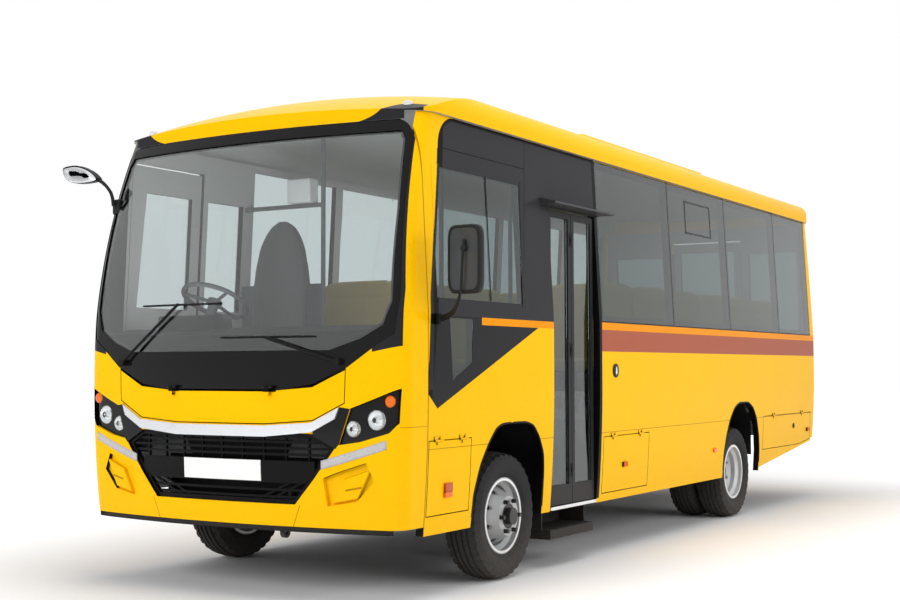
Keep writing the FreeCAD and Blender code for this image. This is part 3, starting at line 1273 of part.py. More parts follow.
def roof_section(inset, y, low=CANT_Z):
    """Cant rail, corner arc and crown as tangent arcs."""
    corner = ROOF_CORNER_RADIUS - inset
    centre_z = ROOF_TOP_Z - crown_radius()
    reach = math.hypot(ROOF_CORNER_X, ROOF_CORNER_Z - centre_z)
    angle = math.atan2(ROOF_CORNER_Z - centre_z, ROOF_CORNER_X)
    edge_x = ROOF_CORNER_X + corner
    meet = (ROOF_CORNER_X + corner * math.cos(angle), ROOF_CORNER_Z + corner * math.sin(angle))
    middle = (ROOF_CORNER_X + corner * math.cos(angle / 2), ROOF_CORNER_Z + corner * math.sin(angle / 2))
    top = ROOF_TOP_Z - inset

    def at(side, x, z):
        return (side * x, y, z)

    return [
        line(at(1, edge_x, low), at(1, edge_x, ROOF_CORNER_Z)),
        arc(at(1, edge_x, ROOF_CORNER_Z), at(1, *middle), at(1, *meet)),
        arc(at(1, *meet), at(1, 0, top), at(-1, *meet)),
        arc(at(-1, *meet), at(-1, *middle), at(-1, edge_x, ROOF_CORNER_Z)),
        line(at(-1, edge_x, ROOF_CORNER_Z), at(-1, edge_x, low)),
        line(at(-1, edge_x, low), at(1, edge_x, low)),
    ]


def roof_prism(inset, y0, y1):
    return face(roof_section(inset, y0)).extrude(V(0, y1 - y0, 0))


# Front and rear ends of the roof: a crown line that falls to the screen, rounded in plan
CAP_CROWN = ((-110.0, 3050.3), (-610.0, 2995.0), (-1112.0, 2825.0), (-1250.0, 2755.0))
CROWN_SWING = 26.0
CAP_FACE = 1112.0
CAP_LOW_Z = 2735.0
CAP_CORNER = 190.0
PLAN_EASE = 3.0
TAIL_CROWN = ((6000.0, 3050.3), (6300.0, 3015.0), (6595.0, 2905.0), (6760.0, 2820.0))
TAIL_CAP_FACE = 6595.0


def roof_end(inset, face_at, crown, low, back, arched=False):
    """The roof's section under the crown line, level or arched across, from a bowed face to `back`."""
    half = ROOF_CORNER_X + ROOF_CORNER_RADIUS + PLAN_EASE - inset
    corner = CAP_CORNER - inset
    centre = face_at + NOSE_BOW_RADIUS
    reach = NOSE_BOW_RADIUS - inset
    corner_y = centre - math.sqrt((reach - corner) ** 2 - (half - corner) ** 2)
    lean = math.atan2(centre - corner_y, half - corner)
    on_bow = (reach * math.cos(lean), centre - reach * math.sin(lean))
    turn = (math.pi / 2 - lean) / 2 + lean / 2 - math.pi / 4
    on_corner = (half - corner + corner * math.cos(lean / 2 + turn), corner_y - corner * math.sin(lean / 2 + turn))

    def at(x, y):
        return (x, y, low)

    plan = face([
        line(at(half, back), at(half, corner_y)),
        arc(at(half, corner_y), at(*on_corner), at(*on_bow)),
        arc(at(*on_bow), at(0, face_at + inset), at(-on_bow[0], on_bow[1])),
        arc(at(-on_bow[0], on_bow[1]), at(-on_corner[0], on_corner[1]), at(-half, corner_y)),
        line(at(-half, corner_y), at(-half, back)),
        line(at(-half, back), at(half, back)),
    ]).extrude(V(0, 0, ROOF_TOP_Z - low + OVERRUN))
    (y0, z0), (y1, z1), (y2, z2), (y3, z3) = [(y, z - inset) for y, z in crown]
    under_crown = face([
        line((0, back + OVERRUN, low - OVERRUN), (0, back + OVERRUN, z0)),
        line((0, back + OVERRUN, z0), (0, y0, z0)),
        arc((0, y0, z0), (0, y1, z1), (0, y2, z2)),
        line((0, y2, z2), (0, y3, z3)),
        line((0, y3, z3), (0, y3, low - OVERRUN)),
        line((0, y3, low - OVERRUN), (0, back + OVERRUN, low - OVERRUN)),
    ])
    if arched:
        axis = V(0, 0, ROOF_TOP_Z - crown_radius())
        under_crown.rotate(axis, ALONG, -CROWN_SWING / 2)
        under_crown = under_crown.revolve(axis, ALONG, CROWN_SWING)
    else:
        under_crown.translate(V(-FAR, 0, 0))
        under_crown = under_crown.extrude(V(2 * FAR, 0, 0))
    section = face(roof_section(inset, face_at - CAP_AHEAD, low - SEAM_GAP)).extrude(V(0, back - face_at + FAR, 0))
    return section.common(plan).common(under_crown)


def front_cap():
    """Brow over the screen, down to the top of the glass in front of the side walls."""
    crown = [(behind(y), z) for y, z in CAP_CROWN]
    face_at = behind(-CAP_FACE)
    back = crown[0][0] + 2 * ROOF_THICK
    shell = roof_end(0, face_at, crown, CAP_LOW_Z, back, True)
    shell = shell.cut(roof_end(ROOF_THICK, face_at, crown, CAP_LOW_Z - OVERRUN, back, True))
    room = fuse([box(-FAR, FAR, -FAR, behind(CAP_CROWN[0][0]) - SEAM_GAP, CANT_Z, FAR),
                 box(-FAR, FAR, -FAR, behind(FRONT_SEAM), CAP_LOW_Z, FAR)])
    return shell.common(room)


def roof():
    """The long arched skin with its rounded tail end, worked out tail first and turned about."""
    crown = [(-behind(y), z) for y, z in TAIL_CROWN]
    face_at = -behind(TAIL_CAP_FACE)
    back = -behind(CAP_CROWN[0][0])
    skin = roof_end(0, face_at, crown, CANT_Z, back)
    room = roof_end(ROOF_THICK, face_at, crown, CANT_Z - OVERRUN, back + OVERRUN)
    return skin.cut(room).mirror(V(0, 0, 0), ALONG)


# Nose: one yellow moulding with the screen, hatch, grille and lamps let into it
NOSE_BOTTOM_Z = 423.0
SURROUND_OUTLINE = ((450.0, 1192.0), (640.0, 1222.0), (860.0, 1318.0), (1010.0, 1425.0), (1130.0, 1500.0),
                    (1146.0, 1700.0), (1143.0, 1800.0), (1116.0, 2300.0), (1098.0, 2650.0), (1070.0, 2735.0))
SCREEN_OUTLINE = ((740.0, 1412.0), (930.0, 1475.0), (1060.0, 1550.0), (1108.0, 1680.0), (1094.0, 2200.0),
                  (1058.0, 2610.0), (1026.0, 2664.0))
HATCH_OUTLINE = ((330.0, 1180.0), (640.0, 1205.0), (842.0, 1300.0), (836.0, 1120.0), (640.0, 1022.0),
                 (330.0, 1000.0))
GRILLE_OUTLINE = ((330.0, 955.0), (640.0, 945.0), (780.0, 870.0), (640.0, 690.0), (516.0, 547.0))
LAMP_OUTLINE = ((792.0, 884.0), (865.0, 1085.0), (1010.0, 1140.0), (1160.0, 1200.0), (1150.0, 1010.0),
                (1100.0, 955.0), (930.0, 905.0))
FOG_OUTLINE = ((700.0, 700.0), (790.0, 735.0), (960.0, 790.0), (1010.0, 690.0), (900.0, 575.0), (720.0, 545.0))
FOG_DEPTH = 26.0
SURROUND_DEPTH = 34.0
SURROUND_INSET = 4.0
SCREEN_INSET = 12.0
SCREEN_GLASS = 7.0


def pair_outline(points, gap=0):
    """A half outline of (x, z) points completed by its mirror image, as a cutter through the nose."""
    ring = list(points) + [(-x, z) for x, z in reversed(points)]
    return outline_y(grown(ring, gap) if gap else ring, -FAR, behind(0))


def each_side(points, gap=0):
    pushed = grown(points, gap) if gap else list(points)
    one = outline_y(pushed, -FAR, behind(0))
    return [one, mirrored(one)]


def front_fascia():
    shell = nose_shell(0, WALL, NOSE_BOTTOM_Z, CAP_LOW_Z - SEAM_GAP)
    low_back = box(-FAR, FAR, -FAR, behind(FRONT_SEAM) - SEAM_GAP, 0, FAR)
    shell = shell.common(low_back)
    head = [(x, z + HATCH_HEAD) for x, z in HATCH_OUTLINE[:3]]
    tools = [pair_outline(SURROUND_OUTLINE), pair_outline(HATCH_OUTLINE, FLAP_GAP), pair_outline(GRILLE_OUTLINE),
             pair_outline(head + list(HATCH_OUTLINE[3:]))]
    tools += each_side(LAMP_OUTLINE)
    shell = cut(shell, tools)
    recess = nose_shell(-OVERRUN, FOG_DEPTH, SKIRT_Z, CANT_Z)
    for side in each_side(FOG_OUTLINE):
        shell = shell.cut(recess.common(side))
    return shell


def windscreen_surround():
    ring = nose_shell(SURROUND_INSET, SURROUND_DEPTH, NOSE_BOTTOM_Z, CAP_LOW_Z - SEAM_GAP)
    ring = ring.common(pair_outline(SURROUND_OUTLINE, -SEAM_GAP))
    bed = nose_shell(-OVERRUN, SCREEN_INSET + SCREEN_GLASS + SEAM_GAP, NOSE_BOTTOM_Z, CANT_Z)
    ring = ring.cut(bed.common(pair_outline(SCREEN_OUTLINE, SEAM_GAP)))
    return ring.cut(pair_outline(SCREEN_OUTLINE, -PANE_LAP / 2))


def windscreen():
    glass = nose_shell(SCREEN_INSET, SCREEN_INSET + SCREEN_GLASS, NOSE_BOTTOM_Z, CANT_Z)
    return glass.common(pair_outline(SCREEN_OUTLINE))


HATCH_HEAD = 22.0
HATCH_THICK = 24.0
HATCH_SKIN = 4.0
HATCH_RIM = 34.0
HATCH_AXIS_Z = 1206.0
HATCH_HINGE_X = 360.0
HATCH_HINGE_RADIUS = 9.0
HATCH_AXIS_Y = HATCH_HINGE_RADIUS - FRONT_OVERHANG
HATCH_PIN_RADIUS = 4.0
HATCH_HINGE_LENGTH = 72.0


def hatch_knuckle(x, low, high, radius):
    y, z = behind(HATCH_AXIS_Y), HATCH_AXIS_Z
    return rod(radius, (x + low, y, z), (x + high, y, z))


def front_hatch():
    """Bowed service hatch under the screen, hung from two knuckles at its upper edge: a thin skin on a
    thicker pan set in from its rim, so that the lower corners swing clear of the bar and the moulding."""
    skin = nose_shell(0, HATCH_SKIN, NOSE_BOTTOM_Z, CANT_Z).common(pair_outline(HATCH_OUTLINE))
    pan = nose_shell(HATCH_SKIN / 2, HATCH_THICK, NOSE_BOTTOM_Z, CANT_Z)
    pieces = [skin, pan.common(pair_outline(HATCH_OUTLINE, -HATCH_RIM))]
    bores = []
    third = HATCH_HINGE_LENGTH / 6
    for side in (-1, 1):
        x = side * HATCH_HINGE_X
        y = nose_y(HATCH_HINGE_X, HATCH_AXIS_Z)
        low_z = HATCH_AXIS_Z - 2 * HATCH_HINGE_RADIUS - FLAP_GAP - HATCH_THICK
        pieces.append(hatch_knuckle(x, -third, third, HATCH_HINGE_RADIUS))
        pieces.append(box(x - third, x + third, behind(HATCH_AXIS_Y) - HATCH_HINGE_RADIUS,
                          behind(HATCH_AXIS_Y), low_z, HATCH_AXIS_Z))
        pieces.append(box(x - third, x + third, behind(HATCH_AXIS_Y) - HATCH_HINGE_RADIUS,
                          y + HATCH_THICK / 2, low_z, low_z + HATCH_HINGE_RADIUS))
        bores.append(hatch_knuckle(x, -FAR, FAR, HATCH_PIN_RADIUS + SEAT_GAP))
    hatch = fuse(pieces)
    return cut(hatch, bores)


def hatch_pins():
    """Fixed knuckles and pins, on the black panel over the hatch."""
    third = HATCH_HINGE_LENGTH / 6
    pieces = []
    for side in (-1, 1):
        x = side * HATCH_HINGE_X
        y = nose_y(HATCH_HINGE_X, HATCH_AXIS_Z) + SURROUND_DEPTH / 2
        pieces.append(hatch_knuckle(x, -3 * third, 3 * third, HATCH_PIN_RADIUS))
        for low, high in ((-3 * third, -third - SEAT_GAP), (third + SEAT_GAP, 3 * third)):
            pieces.append(hatch_knuckle(x, low, high, HATCH_HINGE_RADIUS))
            pieces.append(box(x + low, x + high, behind(HATCH_AXIS_Y), y, HATCH_AXIS_Z,
                              HATCH_AXIS_Z + HATCH_HINGE_RADIUS))
    return pieces


GRILLE_INSET = 14.0
GRILLE_BACK = 40.0
GRILLE_FRAME = 26.0
GRILLE_SLATS = (585.0, 625.0, 825.0, 860.0, 895.0, 925.0)
GRILLE_SLAT = 14.0
GRILLE_SLAT_SET = 10.0
GRILLE_UPRIGHTS = (0.0, 150.0, 300.0, 450.0, 600.0)
GRILLE_UPRIGHT = 8.0
GRILLE_BEAM = (665.0, 790.0)
GRILLE_BEAM_HALF = 640.0
GRILLE_BEAM_CHAMFER = 60.0
GRILLE_STRUTS = ((560.0, 300.0), (480.0, 220.0))


def grille():
    """Black moulding: a frame, a plate beam between upper and lower intakes, slats and uprights set back."""
    def layer(inset):
        return nose_shell(inset, GRILLE_BACK, NOSE_BOTTOM_Z, CANT_Z).common(pair_outline(GRILLE_OUTLINE, -SEAM_GAP))

    outer, deep = layer(GRILLE_INSET), layer(GRILLE_INSET + GRILLE_SLAT_SET)
    pieces = [outer.cut(pair_outline(GRILLE_OUTLINE, -GRILLE_FRAME))]
    low, high = GRILLE_BEAM
    half, chamfer = GRILLE_BEAM_HALF, GRILLE_BEAM_CHAMFER
    pieces.append(outer.common(pair_outline(((half - chamfer, low), (half, low + chamfer), (half, high)))))
    for z in GRILLE_SLATS:
        pieces.append(deep.common(box(-FAR, FAR, -FAR, FAR, z - GRILLE_SLAT / 2, z + GRILLE_SLAT / 2)))
    reach = GRILLE_UPRIGHT / 2
    for x in GRILLE_UPRIGHTS:
        for side in (-1, 1):
            pieces.append(deep.common(box(side * x - reach, side * x + reach, -FAR, FAR, high, FAR)))
    for top_x, low_x in GRILLE_STRUTS:
        strut = [(top_x, low), (low_x, GRILLE_OUTLINE[-1][1]), (low_x - GRILLE_FRAME, GRILLE_OUTLINE[-1][1]),
                 (top_x - GRILLE_FRAME, low)]
        pieces += [deep.common(side) for side in each_side(strut)]
    return fuse(pieces)


BAR_OUTLINE = ((330.0, 988.0), (640.0, 1008.0), (812.0, 1094.0), (786.0, 1030.0), (640.0, 955.0),
               (330.0, 925.0))
BAR_PROUD = 14.0


def chrome_bar():
    """Bright bar across the grille's head, its ends swept up over the lamps."""
    shell = nose_shell(-BAR_PROUD, -SEAM_GAP, NOSE_BOTTOM_Z, CANT_Z)
    return shell.common(pair_outline(BAR_OUTLINE))


LAMP_SET = 20.0
LAMP_BACK = 60.0
LAMPS = ((879.0, 975.0, 46.0), (1016.0, 1025.0, 58.0), (1095.0, 1128.0, 34.0))
LAMP_REACH = 12.0


def headlamp_housings():
    """Black pods let into the moulding, each a tray with three round wells."""
    tray = nose_shell(LAMP_SET, LAMP_BACK, NOSE_BOTTOM_Z, CANT_Z)
    pieces = []
    for side in each_side(LAMP_OUTLINE, -SEAM_GAP):
        pieces.append(tray.common(side))
    wells = []
    for x, z, radius in LAMPS:
        y = nose_y(x, z, LAMP_SET)
        wells.append(rod(radius, (x, y - LAMP_BACK, z), (x, y + LAMP_REACH, z)))
    wells += [mirrored(well) for well in wells]
    return Part.makeCompound([piece.cut(wells) for piece in pieces])


def lamp_lenses():
    """Round lenses in the pods, markers on the flanks and on the brow, lamps on the tail."""
    lenses = []
    for x, z, radius in LAMPS:
        y = nose_y(x, z, LAMP_SET)
        lens = rod(radius - SEAT_GAP, (x, y - LAMP_REACH, z), (x, y + LAMP_REACH - SEAT_GAP, z))
        lenses += [lens, mirrored(lens)]
    near, far = WALL_MARKERS
    lenses += [marker(place) for place in near] + [mirrored(marker(place)) for place in far]
    return lenses + tail_lamps()


def marker(place):
    """Amber lamp on the skirt, its back a hair off the skin."""
    y, z = behind(place[0]), place[1]
    return side_skin(-MARKER_THICK, -SEAT_GAP, y - MARKER_LENGTH / 2, y + MARKER_LENGTH / 2,
                     z - MARKER_HEIGHT / 2, z + MARKER_HEIGHT / 2)


def tail_lamps():
    """Stacks of flat lamps on the tail's corners."""
    lamps = []
    for low in TAIL_LAMP_FEET:
        skin = tail_shell(-TAIL_LAMP_THICK, -SEAT_GAP, TAIL_BOTTOM_Z, CANT_Z)
        lamps.append(skin.common(box(TAIL_LAMP_INNER_X, TAIL_LAMP_OUTER_X, 0, FAR, low, low + TAIL_LAMP_HEIGHT)))
    return lamps + [mirrored(lamp) for lamp in lamps]


FLAP_MARKERS = {"flap_front": (-773.0, 614.0), "flap_middle": (1708.0, 612.0), "flap_rear": (6200.0, 690.0)}
WALL_MARKERS = (((3567.0, 617.0),), ((1708.0, 612.0), (3567.0, 617.0)))
MARKER_THICK = 16.0
MARKER_LENGTH = 70.0
MARKER_HEIGHT = 34.0
TAIL_LAMP_FEET = (880.0, 985.0, 1090.0)
TAIL_LAMP_HEIGHT = 95.0
TAIL_LAMP_INNER_X = 905.0
TAIL_LAMP_OUTER_X = 1010.0
TAIL_LAMP_THICK = 20.0

# Wipers, mirrors, roof pod
WIPER_PIVOTS = ((-808.0, 1348.0), (808.0, 1348.0))
WIPER_TIPS = ((-330.0, 1690.0), (330.0, 1490.0))
WIPER_BLADE = 640.0
WIPER_ARM_RADIUS = 9.0
WIPER_LIFT = 30.0
WIPER_PIVOT_RADIUS = 20.0


def wipers():
    """Each wiper: a pivot on the black panel, an arm and a level blade that lies on the screen."""
    panel = nose_cap(SURROUND_INSET - SEAT_GAP)
    pieces = []
    for (px, pz), (tx, tz) in zip(WIPER_PIVOTS, WIPER_TIPS):
        pivot_y = nose_y(px, pz, SURROUND_INSET)
        tip_y = nose_y(tx, tz, SCREEN_INSET)
        start = (px, pivot_y - WIPER_LIFT, pz)
        end = (tx, tip_y - WIPER_LIFT, tz)
        parts = [
            rod(WIPER_PIVOT_RADIUS, (px, pivot_y - WIPER_LIFT - WIPER_ARM_RADIUS, pz),
                (px, pivot_y + WIPER_LIFT, pz)).cut(panel),
            rod(WIPER_ARM_RADIUS, start, end),
            Part.makeSphere(WIPER_ARM_RADIUS, V(*end)),
        ]
        half = WIPER_BLADE / 2
        ya, yb = nose_y(tx - half, tz, SCREEN_INSET), nose_y(tx + half, tz, SCREEN_INSET)
        a = (tx - half, ya - WIPER_ARM_RADIUS - SEAT_GAP, tz)
        b = (tx + half, yb - WIPER_ARM_RADIUS - SEAT_GAP, tz)
        middle = (tx, tip_y - WIPER_ARM_RADIUS - SEAT_GAP, tz)
        parts += [rod(WIPER_ARM_RADIUS * 2 / 3, a, middle), rod(WIPER_ARM_RADIUS * 2 / 3, middle, b)]
        parts.append(rod(WIPER_ARM_RADIUS * 2 / 3, end, middle))
        pieces.append(fuse(parts))
    return Part.makeCompound(pieces)


MIRROR_REACH_X = 1525.0
MIRROR_WIDTH = 215.0
MIRROR_HEIGHT = 385.0
MIRROR_DEPTH = 62.0
MIRROR_Y = -1010.0
MIRROR_Z = 1915.0
MIRROR_EDGE = 24.0
MIRROR_ARM_RADIUS = 16.0
MIRROR_FOOT_Y = -900.0
MIRROR_FOOT_Z = 1585.0
MIRROR_FOOT_HALF = 34.0
FAR_MIRROR_WIDTH = 330.0
FAR_MIRROR_HEIGHT = 110.0
FAR_MIRROR_Z = 2560.0
FAR_MIRROR_Y = -1190.0
FAR_FOOT_X = 1080.0
FAR_FOOT_Z = 2386.0
FAR_FOOT_THICK = 12.0


def tube_path(radius, points):
    parts = []
    for a, b in zip(points, points[1:]):
        parts += [rod(radius, a, b), Part.makeSphere(radius, V(*b))]
    return parts


def mirrors():
    """Entrance side: an upright head on a swan-neck arm. Far side: a wide head out on the pillar."""
    x1 = MIRROR_REACH_X
    head = rounded_box(x1 - MIRROR_WIDTH, x1, behind(MIRROR_Y), behind(MIRROR_Y) + MIRROR_DEPTH,
                       MIRROR_Z - MIRROR_HEIGHT / 2, MIRROR_Z + MIRROR_HEIGHT / 2, MIRROR_EDGE)
    foot_x = skin_x(MIRROR_FOOT_Z)
    foot = box(foot_x + SEAT_GAP, foot_x + MIRROR_FOOT_HALF, behind(MIRROR_FOOT_Y) - MIRROR_FOOT_HALF,
               behind(MIRROR_FOOT_Y) + MIRROR_FOOT_HALF, MIRROR_FOOT_Z - MIRROR_FOOT_HALF,
               MIRROR_FOOT_Z + MIRROR_FOOT_HALF)
    middle_x = x1 - MIRROR_WIDTH / 2
    low_z = MIRROR_Z - MIRROR_HEIGHT / 2
    arm = tube_path(MIRROR_ARM_RADIUS, [
        (foot_x + MIRROR_FOOT_HALF / 2, behind(MIRROR_FOOT_Y), MIRROR_FOOT_Z),
        (middle_x - MIRROR_WIDTH / 3, behind(MIRROR_Y), MIRROR_FOOT_Z + MIRROR_EDGE),
        (middle_x, behind(MIRROR_Y), low_z - MIRROR_EDGE),
        (middle_x, behind(MIRROR_Y), MIRROR_Z),
    ])
    near = fuse([head, foot] + arm)
    fx = -MIRROR_REACH_X
    far_head = rounded_box(fx, fx + FAR_MIRROR_WIDTH, behind(FAR_MIRROR_Y), behind(FAR_MIRROR_Y) + MIRROR_DEPTH,
                           FAR_MIRROR_Z - FAR_MIRROR_HEIGHT / 2, FAR_MIRROR_Z + FAR_MIRROR_HEIGHT / 2, MIRROR_EDGE)
    pillar_x = -FAR_FOOT_X
    plate = nose_shell(SURROUND_INSET - SEAT_GAP - FAR_FOOT_THICK, SURROUND_INSET - SEAT_GAP, NOSE_BOTTOM_Z, CANT_Z)
    reach = MIRROR_FOOT_HALF * 3 / 4
    plate = plate.common(box(pillar_x - reach, pillar_x + reach, -FAR, behind(0),
                             FAR_FOOT_Z - 2 * MIRROR_FOOT_HALF, FAR_FOOT_Z + 2 * MIRROR_FOOT_HALF))
    far_arm = tube_path(MIRROR_ARM_RADIUS, [
        (pillar_x, nose_y(pillar_x, FAR_FOOT_Z) + CORNER_RADIUS / 4, FAR_FOOT_Z),
        (pillar_x, behind(FAR_MIRROR_Y) - MIRROR_DEPTH / 2, FAR_FOOT_Z),
        (pillar_x, behind(FAR_MIRROR_Y) + MIRROR_DEPTH / 2, FAR_MIRROR_Z),
        (fx + FAR_MIRROR_WIDTH / 2, behind(FAR_MIRROR_Y) + MIRROR_DEPTH / 2, FAR_MIRROR_Z),
    ])
    far = fuse([far_head] + far_arm).cut(nose_cap(SURROUND_INSET - SEAT_GAP))
    return Part.makeCompound([near, fuse([far, plate])])


POD_FRONT = 2280.0
POD_REAR = 4900.0
POD_HALF = 600.0
POD_TOP_Z = 3170.0
POD_EDGE = 45.0


def roof_pod():
    """Low ventilator housing on the crown, its underside cut to the roof's curve."""
    block = box(-POD_HALF, POD_HALF, behind(POD_FRONT), behind(POD_REAR), CANT_Z, POD_TOP_Z)
    top_edges = [e for e in block.Edges if e.BoundBox.ZMin > CANT_Z + POD_EDGE or e.BoundBox.ZLength > POD_EDGE]
    block = block.makeFillet(POD_EDGE, top_edges)
    return block.cut(roof_prism(0, behind(POD_FRONT) - OVERRUN, behind(POD_REAR) + OVERRUN))


# Tail: wall with the emergency door and its window, lamps and a low bumper
EXIT_HALF = 370.0
EXIT_LOW_Z = 990.0
EXIT_TOP_Z = 2640.0
EXIT_THICK = 36.0
EXIT_GLASS_LOW_Z = 1650.0
EXIT_GLASS_TOP_Z = 2540.0
EXIT_FRAME = 70.0
REAR_PANE_HALF_GAP = 470.0
REAR_PANE_HALF = 1010.0
REAR_PANE_LOW_Z = 1700.0
REAR_PANE_TOP_Z = 2500.0
TAIL_BOTTOM_Z = 600.0
BUMPER_LOW_Z = 610.0
BUMPER_TOP_Z = 760.0
BUMPER_HALF = 1060.0
EXIT_HINGE_HEIGHTS = (1150.0, 1800.0, 2450.0)


def tail_y(x, z):
    """Where the tail's skin lies at a place across and up it."""
    return -bowed_y(x, z, -behind(TAIL_FACE), TAIL_BOW_RADIUS, TAIL_LOW_SAG, TAIL_HIGH_SAG)


EXIT_AXIS = (-EXIT_HALF - SHUT_GAP / 2, tail_y(EXIT_HALF, NOSE_LOW_Z) + BARREL_RADIUS + BARREL_CLEAR)


def tail_shell(outer, inner, z0, z1):
    shell = tail_cap(outer).cut(tail_cap(inner))
    return shell.common(box(-FAR, FAR, behind(REAR_SEAM) + SEAM_GAP, FAR, z0, z1))


def rear_wall():
    shell = tail_shell(0, WALL, TAIL_BOTTOM_Z, CANT_Z - SEAM_GAP)
    y0 = behind(REAR_SEAM)
    hole = box(-EXIT_HALF - SHUT_GAP, EXIT_HALF + SHUT_GAP, y0, FAR, EXIT_LOW_Z - SHUT_GAP, EXIT_TOP_Z + SHUT_GAP)
    tools = [hole]
    for side in (-1, 1):
        x0, x1 = sorted((side * REAR_PANE_HALF_GAP, side * REAR_PANE_HALF))
        tools.append(box(x0, x1, y0 + CORNER_RADIUS, FAR, REAR_PANE_LOW_Z, REAR_PANE_TOP_Z))
    knuckles, pins, bore = exit_hinges()
    return fuse([cut(shell, tools), rear_bumper()] + pins)


def rear_bumper():
    """Bowed beam across the foot of the tail, its back cut to the wall."""
    y = behind(OVERALL_LENGTH - FRONT_OVERHANG) - TAIL_BOW_RADIUS
    beam = rod(TAIL_BOW_RADIUS, (0, y, BUMPER_LOW_Z), (0, y, BUMPER_TOP_Z))
    beam = beam.common(box(-BUMPER_HALF, BUMPER_HALF, behind(REAR_SEAM), FAR, 0, FAR))
    return beam.cut(tail_cap(WALL / 2))


def exit_hinges():
    x, y = EXIT_AXIS
    beds = [(tail_y(x, z) - BARREL_BED, y) for z in EXIT_HINGE_HEIGHTS]
    return barrels(EXIT_AXIS, EXIT_HINGE_HEIGHTS, [(x, x + BARREL_LEAF) + bed for bed in beds],
                   [(x - BARREL_LEAF, x) + bed for bed in beds])


def emergency_door():
    """Outward opening exit, hung from three barrels on its offside edge."""
    shell = tail_shell(0, EXIT_THICK, TAIL_BOTTOM_Z, CANT_Z)
    y0 = behind(REAR_SEAM)
    leaf = shell.common(box(-EXIT_HALF, EXIT_HALF, y0, FAR, EXIT_LOW_Z, EXIT_TOP_Z))
    light = box(-EXIT_HALF + EXIT_FRAME, EXIT_HALF - EXIT_FRAME, y0, FAR, EXIT_GLASS_LOW_Z, EXIT_GLASS_TOP_Z)
    knuckles, pins, bore = exit_hinges()
    return fuse([leaf.cut(light)] + knuckles).cut(bore)


def emergency_glass():
    shell = tail_shell(GLASS_BED, GLASS_BED + GLASS, TAIL_BOTTOM_Z, CANT_Z)
    gap = EXIT_FRAME + SEAT_GAP
    return shell.common(box(-EXIT_HALF + gap, EXIT_HALF - gap, behind(REAR_SEAM), FAR,
                            EXIT_GLASS_LOW_Z + SEAT_GAP, EXIT_GLASS_TOP_Z - SEAT_GAP))


def side_glazing(entrance):
    """Bonded panes on one flank, the cab's window and the small quarter light."""
    pieces = [side_skin(0, GLASS, ya, yb, PANE_LOW_Z, PANE_TOP_Z) for ya, yb in side_panes(entrance)]
    window_front = CAB_WINDOW_FRONT if entrance else FAR_WINDOW_FRONT
    pieces.append(side_skin(GLASS_BED, GLASS_BED + GLASS, behind(window_front) + SEAT_GAP,
                            behind(CAB_WINDOW_REAR) - SEAT_GAP, CAB_WINDOW_LOW_Z + SEAT_GAP,
                            CAB_WINDOW_TOP_Z - SEAT_GAP))
    if entrance:
        wing = side_skin(GLASS_BED, GLASS_BED + GLASS, behind(FRONT_SEAM), behind(0), SKIRT_Z, CANT_Z)
        pieces.append(wing.common(shaped_hole(grown(WING_POINTS, -SEAT_GAP))))
    return Part.makeCompound(pieces)


def rear_glazing():
    """Fixed panes on both sides of the exit."""
    shell = tail_shell(GLASS_BED, GLASS_BED + GLASS, TAIL_BOTTOM_Z, CANT_Z)
    pane = shell.common(box(REAR_PANE_HALF_GAP + SEAT_GAP, REAR_PANE_HALF - SEAT_GAP, behind(REAR_SEAM) + CORNER_RADIUS,
                            FAR, REAR_PANE_LOW_Z + SEAT_GAP, REAR_PANE_TOP_Z - SEAT_GAP))
    return both_sides(pane)


# Cab and saloon
DASH_FRONT = -1290.0
DASH_REAR = -890.0
DASH_TOP_Z = 1560.0
DASH_EDGE = 40.0
DASH_LOW_Z = 1120.0
DRIVER_X = -540.0
WHEEL_CENTRE_Z = 1740.0
WHEEL_CENTRE_Y = -800.0
STEER_RADIUS = 225.0
STEER_RIM_RADIUS = 15.0
STEER_TILT = 28.0
STEER_BOSS_RADIUS = 48.0
STEER_SPOKE_RADIUS = 11.0
COLUMN_RADIUS = 32.0
COLUMN_LENGTH = 330.0
STEER_SPOKES = 3


def steering_frame():
    """Unit direction of the column, pointing up out of the wheel."""
    tilt = math.radians(STEER_TILT)
    return V(0, math.sin(tilt), math.cos(tilt))


def steering_wheel():
    out = steering_frame()
    centre = V(DRIVER_X, behind(WHEEL_CENTRE_Y), WHEEL_CENTRE_Z)
    ring = Part.makeTorus(STEER_RADIUS - STEER_RIM_RADIUS, STEER_RIM_RADIUS, V(0, 0, 0), UP)
    boss = Part.makeCylinder(STEER_BOSS_RADIUS, 2 * STEER_RIM_RADIUS, V(0, 0, -2 * STEER_RIM_RADIUS), UP)
    parts = [ring, boss]
    for number in range(STEER_SPOKES):
        angle = 2 * math.pi * number / STEER_SPOKES + math.pi / 2
        tip = (STEER_RADIUS - STEER_RIM_RADIUS) * math.cos(angle), (STEER_RADIUS - STEER_RIM_RADIUS) * math.sin(angle)
        parts.append(rod(STEER_SPOKE_RADIUS, (0, 0, -STEER_RIM_RADIUS), (tip[0], tip[1], 0)))
    wheel = fuse(parts)
    wheel.rotate(V(0, 0, 0), ACROSS, -STEER_TILT)
    wheel.translate(centre)
    return wheel


